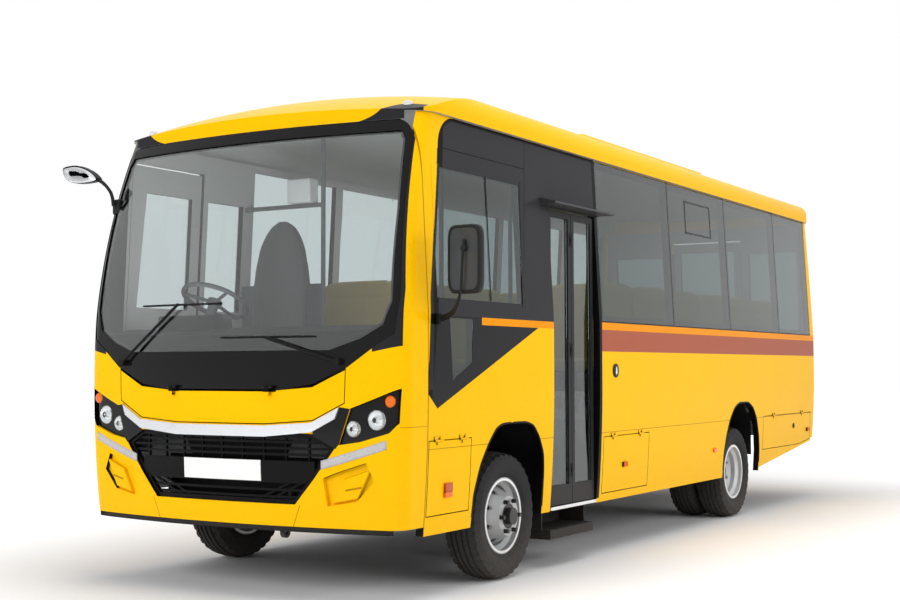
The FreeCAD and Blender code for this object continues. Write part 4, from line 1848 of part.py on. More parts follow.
def dashboard():
    """Moulded shelf under the screen, with the column shroud in front of the driver."""
    y0, y1 = behind(DASH_FRONT), behind(DASH_REAR)
    half = HALF_GLASS_TOP - WALL
    top = DASH_TOP_Z
    profile = [(y0, DASH_LOW_Z), (y0, top - WALL), (y1 - 3 * DASH_EDGE, top), (y1, top - DASH_EDGE),
               (y1, top - 4 * DASH_EDGE), (y1 - 3 * DASH_EDGE, DASH_LOW_Z)]
    shelf = outline_x(profile, -half, half).common(nose_cap(SURROUND_DEPTH + WALL))
    hood = rounded_box(DRIVER_X - STEER_RADIUS, DRIVER_X + STEER_RADIUS, y1 - 5 * DASH_EDGE, y1, top - DASH_EDGE,
                       top + 2 * DASH_EDGE, DASH_EDGE / 2)
    out = steering_frame()
    head = V(DRIVER_X, behind(WHEEL_CENTRE_Y), WHEEL_CENTRE_Z) - out * (2 * STEER_RIM_RADIUS + SEAT_GAP)
    foot = head - out * COLUMN_LENGTH
    column = rod(COLUMN_RADIUS, tuple(foot), tuple(head))
    keep_clear = box(-FAR, FAR, -FAR, FAR, 0, FLOOR_Z)
    engine_room = box(-HUMP_HALF - SEAM_GAP, HUMP_HALF + SEAM_GAP, -FAR, FAR, 0, HUMP_TOP_Z + SEAM_GAP)
    legs = []
    for side in (-1, 1):
        x = side * (half - 3 * DASH_EDGE)
        legs.append(box(x - DASH_EDGE, x + DASH_EDGE, y1 - 4 * DASH_EDGE, y1 - 3 * DASH_EDGE,
                        FLOOR_Z + SEAM_GAP, DASH_LOW_Z + DASH_EDGE))
    return cut(fuse([shelf, hood, column] + legs), [keep_clear, engine_room])


BENCH_WIDTH = 850.0
BENCH_DEPTH = 400.0
BENCH_TOP_Z = 1380.0
BENCH_PAD = 90.0
BACK_TOP_Z = 1990.0
BACK_THICK = 75.0
BACK_RAKE = 60.0
BENCH_EDGE = 22.0
BENCH_INNER_X = 205.0
ROW_PITCH = 700.0
LEFT_ROWS = (1700.0, 6)
RIGHT_ROWS = (520.0, 8)
LEG_BAR = 10.0
CROSS_BAR = 12.0
SIDE_BAR = 14.0
LEG_INSET = 90.0


def bench_places():
    """Inner edge, outer edge and front of each bench."""
    places = []
    inner, outer = BENCH_INNER_X, BENCH_INNER_X + BENCH_WIDTH
    for number in range(LEFT_ROWS[1]):
        places.append((inner, outer, LEFT_ROWS[0] + ROW_PITCH * number))
    for number in range(RIGHT_ROWS[1]):
        places.append((-outer, -inner, RIGHT_ROWS[0] + ROW_PITCH * number))
    return places


def bench_cushion(x0, x1, front):
    y0 = behind(front)
    return rounded_box(x0, x1, y0, y0 + BENCH_DEPTH, BENCH_TOP_Z - BENCH_PAD, BENCH_TOP_Z, BENCH_EDGE)


def bench_back(x0, x1, front):
    """Raked pad behind the cushion."""
    y0 = behind(front) + BENCH_DEPTH + SEAT_GAP
    low = BENCH_TOP_Z - BENCH_PAD
    outline = [(y0, low), (y0 + BACK_THICK, low), (y0 + BACK_THICK + BACK_RAKE, BACK_TOP_Z),
               (y0 + BACK_RAKE, BACK_TOP_Z)]
    pad = outline_x(outline, x0, x1)
    return pad.makeFillet(BENCH_EDGE, pad.Edges)


def bench_seats():
    """Cushion and back of each bench, as two soft pads."""
    return Part.makeCompound([pad(*place) for place in bench_places() for pad in (bench_cushion, bench_back)])


def square_bar(half, start, end):
    """Square tube along one axis, between two points on its centre line."""
    low = [min(a, b) - (half if a == b else 0) for a, b in zip(start, end)]
    high = [max(a, b) + (half if a == b else 0) for a, b in zip(start, end)]
    return box(low[0], high[0], low[1], high[1], low[2], high[2])


def seat_frames():
    """Square tubes under each bench: two along, two across, and four legs down to the deck."""
    frames = []
    rooms = housing_rooms()
    level = BENCH_TOP_Z - BENCH_PAD - SEAT_GAP - SIDE_BAR
    for x0, x1, front in bench_places():
        parts = []
        rear = behind(front) + BENCH_DEPTH - LEG_INSET
        for y in (behind(front) + LEG_INSET, rear):
            parts.append(square_bar(CROSS_BAR, (x0 + LEG_INSET / 2, y, level), (x1 - LEG_INSET / 2, y, level)))
            for x in (x0 + LEG_INSET, x1 - LEG_INSET):
                parts.append(square_bar(LEG_BAR, (x, y, FLOOR_Z + SEAM_GAP), (x, y, level)))
        for x in (x0 + LEG_INSET, x1 - LEG_INSET):
            parts.append(square_bar(SIDE_BAR, (x, behind(front) + LEG_INSET / 2, level),
                                    (x, behind(front) + BENCH_DEPTH + BACK_THICK / 2, level)))
        frames.append(cut(fuse(parts), rooms))
    return Part.makeCompound(frames)


DRIVER_SEAT_FRONT = -600.0
DRIVER_SEAT_WIDTH = 500.0
DRIVER_SEAT_TOP_Z = 1430.0
DRIVER_BACK_TOP_Z = 2320.0
DRIVER_BACK_THICK = 110.0
DRIVER_PEDESTAL = 300.0


def driver_seat():
    """Cushion and tall tapered back on a pedestal."""
    y0 = behind(DRIVER_SEAT_FRONT)
    half = DRIVER_SEAT_WIDTH / 2
    cushion = rounded_box(DRIVER_X - half, DRIVER_X + half, y0, y0 + DRIVER_SEAT_WIDTH,
                          DRIVER_SEAT_TOP_Z - DRIVER_BACK_THICK, DRIVER_SEAT_TOP_Z, BENCH_EDGE)
    y1 = y0 + DRIVER_SEAT_WIDTH - DRIVER_BACK_THICK / 2
    points = [(-half, DRIVER_SEAT_TOP_Z - DRIVER_BACK_THICK), (half, DRIVER_SEAT_TOP_Z - DRIVER_BACK_THICK),
              (half, DRIVER_SEAT_TOP_Z + DRIVER_PEDESTAL), (half / 2, DRIVER_BACK_TOP_Z),
              (-half / 2, DRIVER_BACK_TOP_Z), (-half, DRIVER_SEAT_TOP_Z + DRIVER_PEDESTAL)]
    back = outline_y([(DRIVER_X + x, z) for x, z in points], y1, y1 + DRIVER_BACK_THICK)
    back = back.makeFillet(BENCH_EDGE, back.Edges)
    pedestal = box(DRIVER_X - DRIVER_PEDESTAL / 2, DRIVER_X + DRIVER_PEDESTAL / 2, y0 + BENCH_EDGE,
                   y0 + BENCH_EDGE + DRIVER_PEDESTAL, FLOOR_Z + SEAM_GAP, DRIVER_SEAT_TOP_Z - DRIVER_BACK_THICK / 2)
    hump = box(-HUMP_HALF - SEAM_GAP, HUMP_HALF + SEAM_GAP, behind(HUMP_FRONT), behind(HUMP_REAR) + SEAM_GAP, 0,
               HUMP_TOP_Z + SEAM_GAP)
    return cut(fuse([cushion, back, pedestal]), [hump] + housing_rooms())


POLE_RADIUS = 16.0
POLES = ((400.0, 1400.0), (400.0, 420.0))


def grab_rails():
    """Two poles at the entrance; behind the driver a pole, a low panel and a rail to the wall."""
    ceiling = roof_prism(ROOF_THICK + SEAM_GAP, behind(PARTITION_Y) - OVERRUN, behind(POLES[0][1]) + OVERRUN)
    poles = []
    for x, place in POLES + ((PARTITION_X, PARTITION_Y),):
        pole = rod(POLE_RADIUS, (x, behind(place), FLOOR_Z + SEAM_GAP), (x, behind(place), ROOF_TOP_Z))
        poles.append(fuse([pole.common(box(-FAR, FAR, -FAR, FAR, 0, CANT_Z)), pole.common(ceiling)]))
    y = behind(PARTITION_Y)
    wall_x = -skin_x(PARTITION_RAIL_Z + POLE_RADIUS, WALL) + SEAM_GAP
    rail = rod(POLE_RADIUS, (wall_x, y, PARTITION_RAIL_Z), (PARTITION_X, y, PARTITION_RAIL_Z))
    low_x = -skin_x(PARTITION_TOP_Z, WALL) + SEAM_GAP
    panel = box(low_x, PARTITION_X, y - PARTITION_THICK / 2, y + PARTITION_THICK / 2,
                FRONT_ARCH_TOP_Z + SEAM_GAP, PARTITION_TOP_Z)
    return Part.makeCompound(poles[:-1] + [fuse([poles[-1], rail, panel])])

# Partition behind the driver and the plain first-aid box on its rail
PARTITION_Y = (CAB_WINDOW_REAR + FAR_PANE_FRONT) / 2
PARTITION_X = -410.0
PARTITION_TOP_Z = 1900.0
PARTITION_THICK = 18.0
PARTITION_RAIL_Z = 2450.0
BOX_PLACE = (-690.0, -490.0)
BOX_HEIGHT = 170.0
BOX_DEPTH = 110.0
BOX_EDGE = 14.0


def first_aid_box():
    y, z = behind(PARTITION_Y), PARTITION_RAIL_Z + POLE_RADIUS + SEAT_GAP
    return rounded_box(*BOX_PLACE, y - BOX_DEPTH / 2, y + BOX_DEPTH / 2, z, z + BOX_HEIGHT, BOX_EDGE)


# Black cover over the entrance and its quarter panels
CANOPY_FRONT = 440.0
CANOPY_REAR = 1370.0
CANOPY_LOW_Z = 2385.0
CANOPY_TOP_Z = 2425.0
CANOPY_X = 1262.0


def door_canopy():
    x0 = skin_x(CANOPY_LOW_Z) + SEAT_GAP
    y0, y1 = behind(CANOPY_FRONT), behind(CANOPY_REAR)
    return outline_y([(x0, CANOPY_LOW_Z), (CANOPY_X, CANOPY_LOW_Z), (CANOPY_X, CANOPY_LOW_Z + STEP_PLATE),
                      (x0, CANOPY_TOP_Z)], y0, y1)


def main():
    save("chassis_frame", chassis_frame())
    save("leaf_springs", leaf_springs())
    save("front_axle_beam", front_axle_beam())
    save("rear_axle", rear_axle())
    save("engine_block", engine_block())
    save("propeller_shaft", propeller_shaft())
    save("exhaust", exhaust())
    save("fuel_tank", fuel_tank())
    save("wheel_housings", wheel_housings())
    save("floor", floor())
    save("entrance_steps", entrance_steps())
    save("left_side_wall", side_wall(True))
    save("right_side_wall", mirrored(side_wall(False)))
    save("roof", roof())
    save("front_cap", front_cap())
    save("roof_pod", roof_pod())
    save("front_fascia", front_fascia())
    save("windscreen_surround", fuse([windscreen_surround()] + hatch_pins()))
    save("windscreen", windscreen())
    save("front_hatch", front_hatch())
    save("grille", grille())
    save("chrome_bar", chrome_bar())
    save("headlamp_housings", headlamp_housings())
    save("lamp_lenses", Part.makeCompound(lamp_lenses()))
    save("wipers", wipers())
    save("mirrors", mirrors())
    save("rear_wall", rear_wall())
    save("emergency_door", emergency_door())
    save("emergency_glass", emergency_glass())
    save("left_glazing", side_glazing(True))
    save("right_glazing", mirrored(side_glazing(False)))
    save("rear_glazing", rear_glazing())
    save("door_canopy", door_canopy())
    save("dashboard", dashboard())
    save("steering_wheel", steering_wheel())
    save("driver_seat", driver_seat())
    save("bench_seats", bench_seats())
    save("seat_frames", seat_frames())
    save("grab_rails", grab_rails())
    save("first_aid_box", first_aid_box())
    save("driver_door", mirrored(driver_door()))
    save("driver_door_glass", mirrored(driver_glass()))
    save("door_leaf_rear", door_leaf_rear())
    save("door_leaf_front", door_leaf_front())
    save("door_glass_rear", leaf_glass(*leaf_edges(True)))
    save("door_glass_front", leaf_glass(*leaf_edges(False)))
    for name in FLAPS:
        save(name, flap(name))
    near = knuckle()
    save("knuckle_left", near)
    save("knuckle_right", mirrored(near))
    save("tie_rod", tie_rod())
    wheel, rear = front_wheel(), rear_wheels()
    save("wheel_front_left", wheel)
    save("wheel_front_right", mirrored(wheel))
    save("wheels_rear_left", rear)
    save("wheels_rear_right", mirrored(rear))
    front_tyre = tyre(WHEEL_X, behind(0))
    twins = Part.makeCompound([tyre(WHEEL_X, REAR_AXLE_Y), tyre(WHEEL_X - TWIN_SPACING, REAR_AXLE_Y)])
    save("tyre_front_left", front_tyre)
    save("tyre_front_right", mirrored(front_tyre))
    save("tyres_rear_left", twins)
    save("tyres_rear_right", mirrored(twins))


main()
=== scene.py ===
import bpy
import math
import numpy as np
from mathutils import Matrix


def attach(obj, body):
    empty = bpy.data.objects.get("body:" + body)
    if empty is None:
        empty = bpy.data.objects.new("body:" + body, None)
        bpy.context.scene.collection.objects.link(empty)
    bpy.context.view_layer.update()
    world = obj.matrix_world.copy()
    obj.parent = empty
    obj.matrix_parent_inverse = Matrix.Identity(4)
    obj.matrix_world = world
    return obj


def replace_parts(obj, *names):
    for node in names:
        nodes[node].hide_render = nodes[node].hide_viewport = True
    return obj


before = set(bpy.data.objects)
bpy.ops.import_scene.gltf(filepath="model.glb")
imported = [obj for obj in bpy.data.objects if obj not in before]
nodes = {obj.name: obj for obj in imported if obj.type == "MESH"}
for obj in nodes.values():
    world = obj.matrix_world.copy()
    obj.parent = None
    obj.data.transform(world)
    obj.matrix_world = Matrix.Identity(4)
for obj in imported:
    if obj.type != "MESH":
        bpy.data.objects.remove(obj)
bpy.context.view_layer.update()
scene = bpy.context.scene
scene.view_settings.view_transform = "Standard"

# Viewpoint
# The photograph is taken from the front corner on the entrance side, at chest height, about
# ten metres off, with a short telephoto lens and no shift.
viewpoint = bpy.data.cameras.new("viewpoint")
viewpoint.sensor_width = 36.0
viewpoint.lens = 55.26
viewpoint.clip_end = 300.0
camera = bpy.data.objects.new("viewpoint", viewpoint)
scene.collection.objects.link(camera)
camera.matrix_world = (Matrix.Translation((5.286, -10.213, 1.311)) @ Matrix.Rotation(0.5421, 4, "Z")
                       @ Matrix.Rotation(math.pi / 2 + 0.04917, 4, "X") @ Matrix.Rotation(-0.00217, 4, "Z"))
bpy.context.scene.camera = camera


# Studio floor, sky and lamps
# A seamless white floor that keeps the soft shadow and also carries a painted shadow round the vehicle's
# footprint, an even white room, large soft boxes overhead, on the nose and along the entrance side, and a
# small one each in the cab and the saloon.
def srgb(red, green, blue):
    """A colour as sampled on the photograph, 0 to 255, turned linear."""
    c = np.array([red, green, blue]) / 255.0
    linear = np.where(c <= 0.04045, c / 12.92, ((c + 0.055) / 1.055) ** 2.4)
    return (*[float(v) for v in linear], 1.0)


def maths(operation):
    """A short call that adds one kind of math node."""
    return lambda finish, *values: finish.add("Math", *values, operation=operation).outputs[0]


class Nodes:
    """A node tree, with short calls that add nodes to it."""
    plus, minus, times, times_plus = maths("ADD"), maths("SUBTRACT"), maths("MULTIPLY"), maths("MULTIPLY_ADD")
    above, below, most, size = maths("GREATER_THAN"), maths("LESS_THAN"), maths("MAXIMUM"), maths("ABSOLUTE")
    root, sign, sine, cosine = maths("SQRT"), maths("SIGN"), maths("SINE"), maths("COSINE")
    angle, wrap = maths("ARCTAN2"), maths("WRAP")

    def __init__(self, tree):
        self.tree = tree

    def put(self, value, socket):
        if isinstance(value, bpy.types.NodeSocket):
            self.tree.links.new(value, socket)
        else:
            socket.default_value = value

    def add(self, kind, *values, **settings):
        node = self.tree.nodes.new("ShaderNode" + kind)
        for key, value in settings.items():
            setattr(node, key, value)
        for slot, value in enumerate(values):
            if value is not None:
                self.put(value, node.inputs[slot])
        return node

    def every(self, mask, *others):
        """1 where all masks are."""
        for other in others:
            mask = self.times(mask, other)
        return mask

    def either(self, mask, *others):
        """1 where any mask is."""
        for other in others:
            mask = self.most(mask, other)
        return mask

    def between(self, value, low, high):
        return self.times(self.above(value, low), self.below(value, high))

    def far(self, a, b):
        """The distance whose two parts are given."""
        return self.root(self.plus(self.times(a, a), self.times(b, b)))

    def over(self, mask, under, cover):
        """The cover colour where the mask is 1, the colour under it elsewhere."""
        node = self.tree.nodes.new("ShaderNodeMix")
        node.data_type = "RGBA"
        for slot, value in ((0, mask), (6, under), (7, cover)):
            self.put(value, node.inputs[slot])
        return node.outputs[2]

    def layered(self, colour, *layers):
        """A colour under layers of (mask, colour), each laid over those before it."""
        for mask, cover in layers:
            colour = self.over(mask, colour, cover)
        return colour

    def axes(self, vector):
        return self.add("SeparateXYZ", vector).outputs[:3]

    def camera_sees(self):
        """1 for rays from the camera, straight, mirrored or through glass."""
        path = self.add("LightPath").outputs
        return self.either(path["Is Camera Ray"], path["Is Glossy Ray"], path["Is Transmission Ray"])


class Finish(Nodes):
    """One material with its shader and the place and direction of the surface."""

    def __init__(self, name):
        self.material = bpy.data.materials.new(name)
        self.material.use_nodes = True
        super().__init__(self.material.node_tree)
        self.shader = self.tree.nodes["Principled BSDF"]
        where = self.add("TexCoord").outputs
        self.place, self.normal = where["Object"], where["Normal"]

    def set(self, **values):
        """Plain values or links on the shader's own inputs, with _ in their names for a space."""
        for name, value in values.items():
            self.put(value, self.shader.inputs[name.replace("_", " ")])

    def relief(self, height, depth, strength=1.0):
        """A bump of a depth in metres from a height of 0 to 1."""
        bump = self.add("Bump")
        for name, value in (("Distance", depth), ("Strength", strength), ("Height", height)):
            self.put(value, bump.inputs[name])
        self.set(Normal=bump.outputs[0])


FLOOR_HALF, BODY_HALF_X, BODY_HALF_Y = 60.0, 1.1, 3.9
SHADOW_FROM, SHADOW_TO, HORIZON = 0.1, 2.2, 14.0
SHADOW_GLOW, FAR_GLOW = 0.34, 0.55
floor_finish = Finish("studio_floor")
x, y, _ = floor_finish.axes(floor_finish.place)
past_side = floor_finish.most(floor_finish.minus(floor_finish.size(x), BODY_HALF_X), 0.0)
past_end = floor_finish.most(floor_finish.minus(floor_finish.size(y), BODY_HALF_Y), 0.0)
away = floor_finish.far(past_side, past_end)
# Painted shadow: the glow the camera sees is nil over the vehicle's footprint and rises over 2.2 m past it,
# so the floor is painted darker round and under the vehicle; further out it rises again so the far floor
# reads white.
glow_with_painted_shadow = floor_finish.plus(
    floor_finish.add("MapRange", away, SHADOW_FROM, SHADOW_TO, 0.0, SHADOW_GLOW).outputs[0],
    floor_finish.add("MapRange", away, SHADOW_TO, HORIZON, 0.0, FAR_GLOW).outputs[0])
floor_finish.set(Base_Color=(0.88, 0.88, 0.88, 1), Specular_IOR_Level=0.1, Roughness=0.9,
                 Emission_Color=(1, 1, 1, 1),
                 Emission_Strength=floor_finish.times(floor_finish.camera_sees(), glow_with_painted_shadow))
floor_mesh = bpy.data.meshes.new("studio_floor")
floor_corners = [(a * FLOOR_HALF, b * FLOOR_HALF, 0) for a, b in ((-1, -1), (1, -1), (1, 1), (-1, 1))]
floor_mesh.from_pydata(floor_corners, [], [(0, 1, 2, 3)])
floor_mesh.materials.append(floor_finish.material)
floor = bpy.data.objects.new("studio_floor", floor_mesh)
scene.collection.objects.link(floor)

sky = bpy.data.worlds.new("studio_room")
scene.world = sky
sky.use_nodes = True
room = Nodes(sky.node_tree)
background = sky.node_tree.nodes["Background"].inputs
background["Color"].default_value = (1, 1, 1, 1)
ROOM_LIGHT, ROOM_WHITE = 0.40, 1.0
brightness = room.add("MapRange", room.camera_sees(), None, None, ROOM_LIGHT, ROOM_WHITE).outputs[0]
room.put(brightness, background["Strength"])


def soft_box(name, place, aim, width, height, watts):
    """A rectangular lamp at a place, turned to a point on the vehicle."""
    lamp = bpy.data.lights.new(name, "AREA")
    lamp.shape = "RECTANGLE"
    lamp.size, lamp.size_y, lamp.energy = width, height, watts
    holder = bpy.data.objects.new(name, lamp)
    holder.visible_glossy = holder.visible_transmission = False
    scene.collection.objects.link(holder)
    look = Matrix.Translation(aim).translation - Matrix.Translation(place).translation
    holder.matrix_world = Matrix.Translation(place) @ look.to_track_quat("-Z", "Y").to_matrix().to_4x4()


soft_box("overhead_box", (1.0, -1.0, 9.5), (0, 0, 1.5), 6.0, 12.0, 560)
soft_box("nose_box", (-2.5, -13.0, 5.0), (0, -3.5, 1.4), 6.0, 5.0, 620)
soft_box("side_box", (12.0, 0.0, 5.0), (0.8, 0.5, 1.3), 12.0, 5.0, 640)
soft_box("cab_fill", (0.1, -3.62, 1.75), (-0.2, -2.0, 2.6), 1.5, 0.3, 14)
soft_box("saloon_fill", (0.0, 0.8, 2.88), (0.0, 0.8, 1.0), 1.2, 5.0, 34)


# Coachwork paint
# Two-pack gloss yellow over steel and moulded panels, with the orange and red-brown waist bands
# and the black window band painted on. Inside faces carry a pale grey laminate.
DUST, DUST_BLOTS, DUST_ROUGHNESS, FINER = (0.16, 0.14, 0.12, 1), 1.6, 0.4, 11.0


def surface_life():
    """Group shared by every finish but the glass and the floor: slow and fine noise shift the colour's value
    and the roughness, road grime gathers towards the ground, and a fine height goes to the bump."""
    group = Nodes(bpy.data.node_groups.new("surface_life", "ShaderNodeTree"))
    kinds = {"Place": "Vector", "Colour": "Color"}
    for way, names in (("INPUT", "Place Colour Roughness Scale Shade Spread Grime Top"),
                       ("OUTPUT", "Colour Roughness Height")):
        for name in names.split():
            kind = "NodeSocket" + kinds.get(name, "Float")
            group.tree.interface.new_socket(name, in_out=way, socket_type=kind)
    came, goes = group.tree.nodes.new("NodeGroupInput"), group.tree.nodes.new("NodeGroupOutput")
    place, colour, roughness, scale, shade, spread, grime, top = came.outputs[:8]

    def noise(scale, detail):
        node = group.add("TexNoise", place)
        group.put(scale, node.inputs["Scale"])
        group.put(detail, node.inputs["Detail"])
        return node.outputs[0]

    slow, fine = noise(scale, 3.0), noise(group.times(scale, FINER), 4.0)
    both = group.minus(group.times(group.plus(slow, fine), 0.5), 0.5)
    tint = group.add("VectorMath", colour, operation="SCALE")
    group.put(group.plus(1.0, group.times(group.times(both, 4.0), shade)), tint.inputs["Scale"])
    low_down = group.add("MapRange", group.axes(place)[2], top, 0.0).outputs[0]
    dirt = group.times(group.times(low_down, group.times(slow, DUST_BLOTS)), grime)
    dirty = group.over(dirt, tint.outputs[0], DUST)
    rough = group.plus(group.plus(roughness, group.times(both, spread)), group.times(dirt, DUST_ROUGHNESS))
    for slot, value in enumerate((dirty, rough, fine)):
        group.put(value, goes.inputs[slot])
    return group.tree


life = surface_life()


def enliven(finish, colour, roughness, scale=3.0, shade=0.03, spread=0.08, grime=0.25, top=0.7, bump=0.0):
    """Passes a colour and roughness through the shared group into the shader, with a fine bump in metres."""
    node = finish.tree.nodes.new("ShaderNodeGroup")
    node.node_tree = life
    for slot, value in enumerate((finish.place, colour, roughness, scale, shade, spread, grime, top)):
        finish.put(value, node.inputs[slot])
    finish.set(Base_Color=node.outputs["Colour"], Roughness=node.outputs["Roughness"])
    if bump:
        finish.relief(node.outputs["Height"], bump, 0.6)
    return finish.material


AXLE_Y = -2.640
# SEAM_SHADE_YELLOW is the body yellow darkened as painted shade: it draws the panel seams and the bumper's
# slots.
YELLOW, ROOF_YELLOW, SEAM_SHADE_YELLOW = srgb(252, 192, 0), srgb(252, 188, 0), srgb(190, 132, 0)
ORANGE, BROWN, AMBER = srgb(243, 150, 8), srgb(170, 92, 68), srgb(226, 92, 8)
BLACK, DEEP_BLACK = srgb(50, 50, 53), srgb(40, 40, 42)
LAMINATE, RUBBER = srgb(168, 170, 168), srgb(16, 16, 17)
BROWN_BAND, ORANGE_BAND, FRONT_STRIPE = (1.425, 1.578), (1.578, 1.630), (1.567, 1.612)
SKIRT_SEAM = (0.852, 0.857)
NOSE_SEAM, DOOR_JAMB, DOOR_FOOT_Z = (-1.010, -0.998), (1.262, 1.306), 0.40
PANEL_TOP, PANEL_TURN_Y, PANEL_TURN_Z, PANEL_CORNER, PANEL_RIM = 2.781, -0.620, 2.581, 0.200, 0.180
GLASS_BAND, GLASS_END = (1.630, 2.778), 6.30
WEDGE_TIP, WEDGE_TIP_Z, WEDGE_END, WEDGE_TOP = 0.906, 1.082, 0.342, 1.613
PILLAR_SEAM_HALF, LEVEL_SEAM, LEVEL_SEAM_RUN = 0.004, (2.584, 2.591), (-0.826, 0.245)
FORE_LEAN, FORE_FOOT, CAB_RIM, WEDGE_RISE, WEDGE_FALL = 0.1374, -1.1807, 0.062, 0.391, -0.84
PILLAR_LEAN, PILLAR_FOOT, PILLAR_SEAM_LOW, FACING = 0.1088, -0.0401, 1.70, 0.5
FLAP_LAMPS, FLAP_LAMP_HALF = ((-0.773, 0.614), (1.708, 0.612), (6.200, 0.690)), (0.0352, 0.0172)


def paint_finish(name):
    """Gloss paint with a clear coat."""
    coat = Finish(name)
    coat.set(Coat_Weight=0.06, Coat_Roughness=0.06, Specular_IOR_Level=0.03)
    return coat


def side_paint(name, entrance):
    """Yellow flank with its bands and window panel, laminate inside and dark edges to every opening.
    The panel's fore edge leans back as it rises, and turns into the top edge over a round corner."""
    coat = paint_finish(name)
    _, y, z = coat.axes(coat.place)
    back = coat.minus(y, AXLE_Y)
    band_from, stripe_from = (DOOR_JAMB[1], -0.397) if entrance else (0.215, -0.25)
    stripe = coat.every(coat.between(back, stripe_from, band_from), coat.between(z, *FRONT_STRIPE))
    fore_edge = coat.times_plus(z, FORE_LEAN, FORE_FOOT)
    from_tip = coat.plus(back, WEDGE_TIP)
    lower_line = coat.most(coat.times(from_tip, WEDGE_RISE), coat.times(from_tip, WEDGE_FALL))
    lower_line = coat.plus(lower_line, WEDGE_TIP_Z)
    wedge = coat.every(coat.between(back, fore_edge, WEDGE_END), coat.below(z, WEDGE_TOP),
                       coat.above(z, lower_line), coat.minus(1.0, stripe))
    corner_y = coat.times(coat.most(coat.minus(PANEL_TURN_Y, back), 0.0), coat.above(z, PANEL_TURN_Z))
    reach = coat.far(corner_y, coat.most(coat.minus(z, PANEL_TURN_Z), 0.0))
    front_top = coat.every(coat.between(back, fore_edge, band_from), coat.below(reach, PANEL_CORNER),
                           coat.between(z, FRONT_STRIPE[1], PANEL_TOP))
    rear_top = coat.every(coat.between(back, band_from, GLASS_END), coat.between(z, *GLASS_BAND))
    from_lean = coat.minus(back, coat.times_plus(z, PILLAR_LEAN, PILLAR_FOOT))
    upright = coat.every(coat.between(from_lean, -PILLAR_SEAM_HALF, PILLAR_SEAM_HALF),
                         coat.above(z, PILLAR_SEAM_LOW))
    level = coat.every(coat.between(z, *LEVEL_SEAM), coat.between(back, *LEVEL_SEAM_RUN))
    fore_rim = coat.below(back, coat.plus(fore_edge, CAB_RIM))
    rim = coat.either(coat.above(reach, PANEL_RIM), fore_rim, upright, level)
    bands = [(coat.every(coat.above(back, band_from), coat.between(z, *band)), shade)
             for band, shade in ((BROWN_BAND, BROWN), (ORANGE_BAND, ORANGE))]
    # The skirt seam and the nose seam are darker yellow lines of painted shade.
    colour = coat.layered(YELLOW, (coat.between(z, *SKIRT_SEAM), SEAM_SHADE_YELLOW),
                          (coat.between(back, *NOSE_SEAM), SEAM_SHADE_YELLOW), *bands, (stripe, ORANGE),
                          (wedge, DEEP_BLACK), (front_top, BLACK), (rear_top, DEEP_BLACK),
                          (coat.every(coat.either(front_top, wedge), rim), RUBBER))
    if entrance:
        jamb = coat.every(coat.between(back, *DOOR_JAMB), coat.above(z, DOOR_FOOT_Z))
        colour = coat.over(jamb, colour, RUBBER)
    half_y, half_z = FLAP_LAMP_HALF
    for lamp_y, lamp_z in FLAP_LAMPS:
        lamp = coat.every(coat.between(back, lamp_y - half_y, lamp_y + half_y),
                          coat.between(z, lamp_z - half_z, lamp_z + half_z))
        colour = coat.over(lamp, colour, AMBER)
    outward = coat.times(coat.axes(coat.normal)[0], 1.0 if entrance else -1.0)
    colour = coat.layered(colour, (coat.below(outward, FACING), RUBBER),
                          (coat.below(outward, -FACING), LAMINATE))
    return enliven(coat, colour, 0.30, grime=0.10)


def inward(coat, nose):
    """1 on faces that look down, or in from a flank, or back from the nose."""
    a, b, c = coat.axes(coat.normal)
    side = coat.times(a, coat.sign(coat.axes(coat.place)[0]))
    mask = coat.either(coat.below(c, -0.35), coat.below(side, -0.35))
    return coat.most(mask, coat.above(b, 0.4)) if nose else mask


def edge_curve(coat, across, places, reach, low, tall, first, last, straight=False):
    """A height drawn over the place across by given (across, up) places, on a curve that reads and gives
    0 to 1: across times a reach, and the height less a low as a share of how tall the curve is."""
    node = coat.add("FloatCurve", 1.0, across if reach == 1.0 else coat.times(across, reach))
    curve = node.mapping.curves[0]
    for px, pz in places:
        curve.points.new(px * reach, (pz - low) / tall)
    curve.points[0].location = (0, (first - low) / tall)
    curve.points[-1].location = (1, (last - low) / tall)
    if straight:
        for point in curve.points:
            point.handle_type = "VECTOR"
    node.mapping.update()
    return node.outputs[0]


BROW = ((0.70, 2.715), (0.756, 2.737), (0.80, 2.750), (0.85, 2.773), (0.904, 2.814), (0.938, 2.838),
        (0.984, 2.846), (1.10, 2.840))
BROW_LOW, BROW_BACK, BROW_END = 2.2, -0.880, 1.118
HATCH_HINGES, HINGE_LOW, NOSE_HEM = (0.315, 0.405), 1.178, -1.009
SIDE_EDGE, SIDE_LEAN_Z, SIDE_LEAN = 1.163, 1.75, -0.066
SLANT, SLANT_X, SLANT_HALF, SLANT_TOP = 0.40, 0.330, 0.003, 0.545
PILLAR_JOINT, PILLAR_JOINT_X = (0.984, 0.988), 1.150
TAIL_BAND, TAIL_BAND_HALF, BUMPER_TOP = (1.660, 2.540), 1.045, 0.60
SCREEN_FOOT = ((0.40, 1.192), (0.45, 1.192), (0.645, 1.215), (0.848, 1.302), (1.01, 1.402), (1.10, 1.445))


def roof_paint(name, cap):
    """Yellow crown over a pale lining. The cap's corners are black below a line that rises from the screen's
    head to the marker lamps, and run to the pillar."""
    coat = paint_finish(name)
    colour = ROOF_YELLOW
    if cap:
        x, y, z = coat.axes(coat.place)
        across = coat.size(x)
        line = edge_curve(coat, across, BROW, 0.8, BROW_LOW, 1.0, 2.7, 2.83)
        dark = coat.every(coat.below(coat.minus(z, BROW_LOW), line), coat.below(across, BROW_END),
                          coat.below(coat.minus(y, AXLE_Y), BROW_BACK))
        colour = coat.over(dark, colour, DEEP_BLACK)
    colour = coat.over(inward(coat, cap), colour, LAMINATE)
    return enliven(coat, colour, 0.30, grime=0.0)


def plain_paint(name, colour):
    """One gloss colour."""
    return enliven(paint_finish(name), colour, 0.30, grime=0.10)


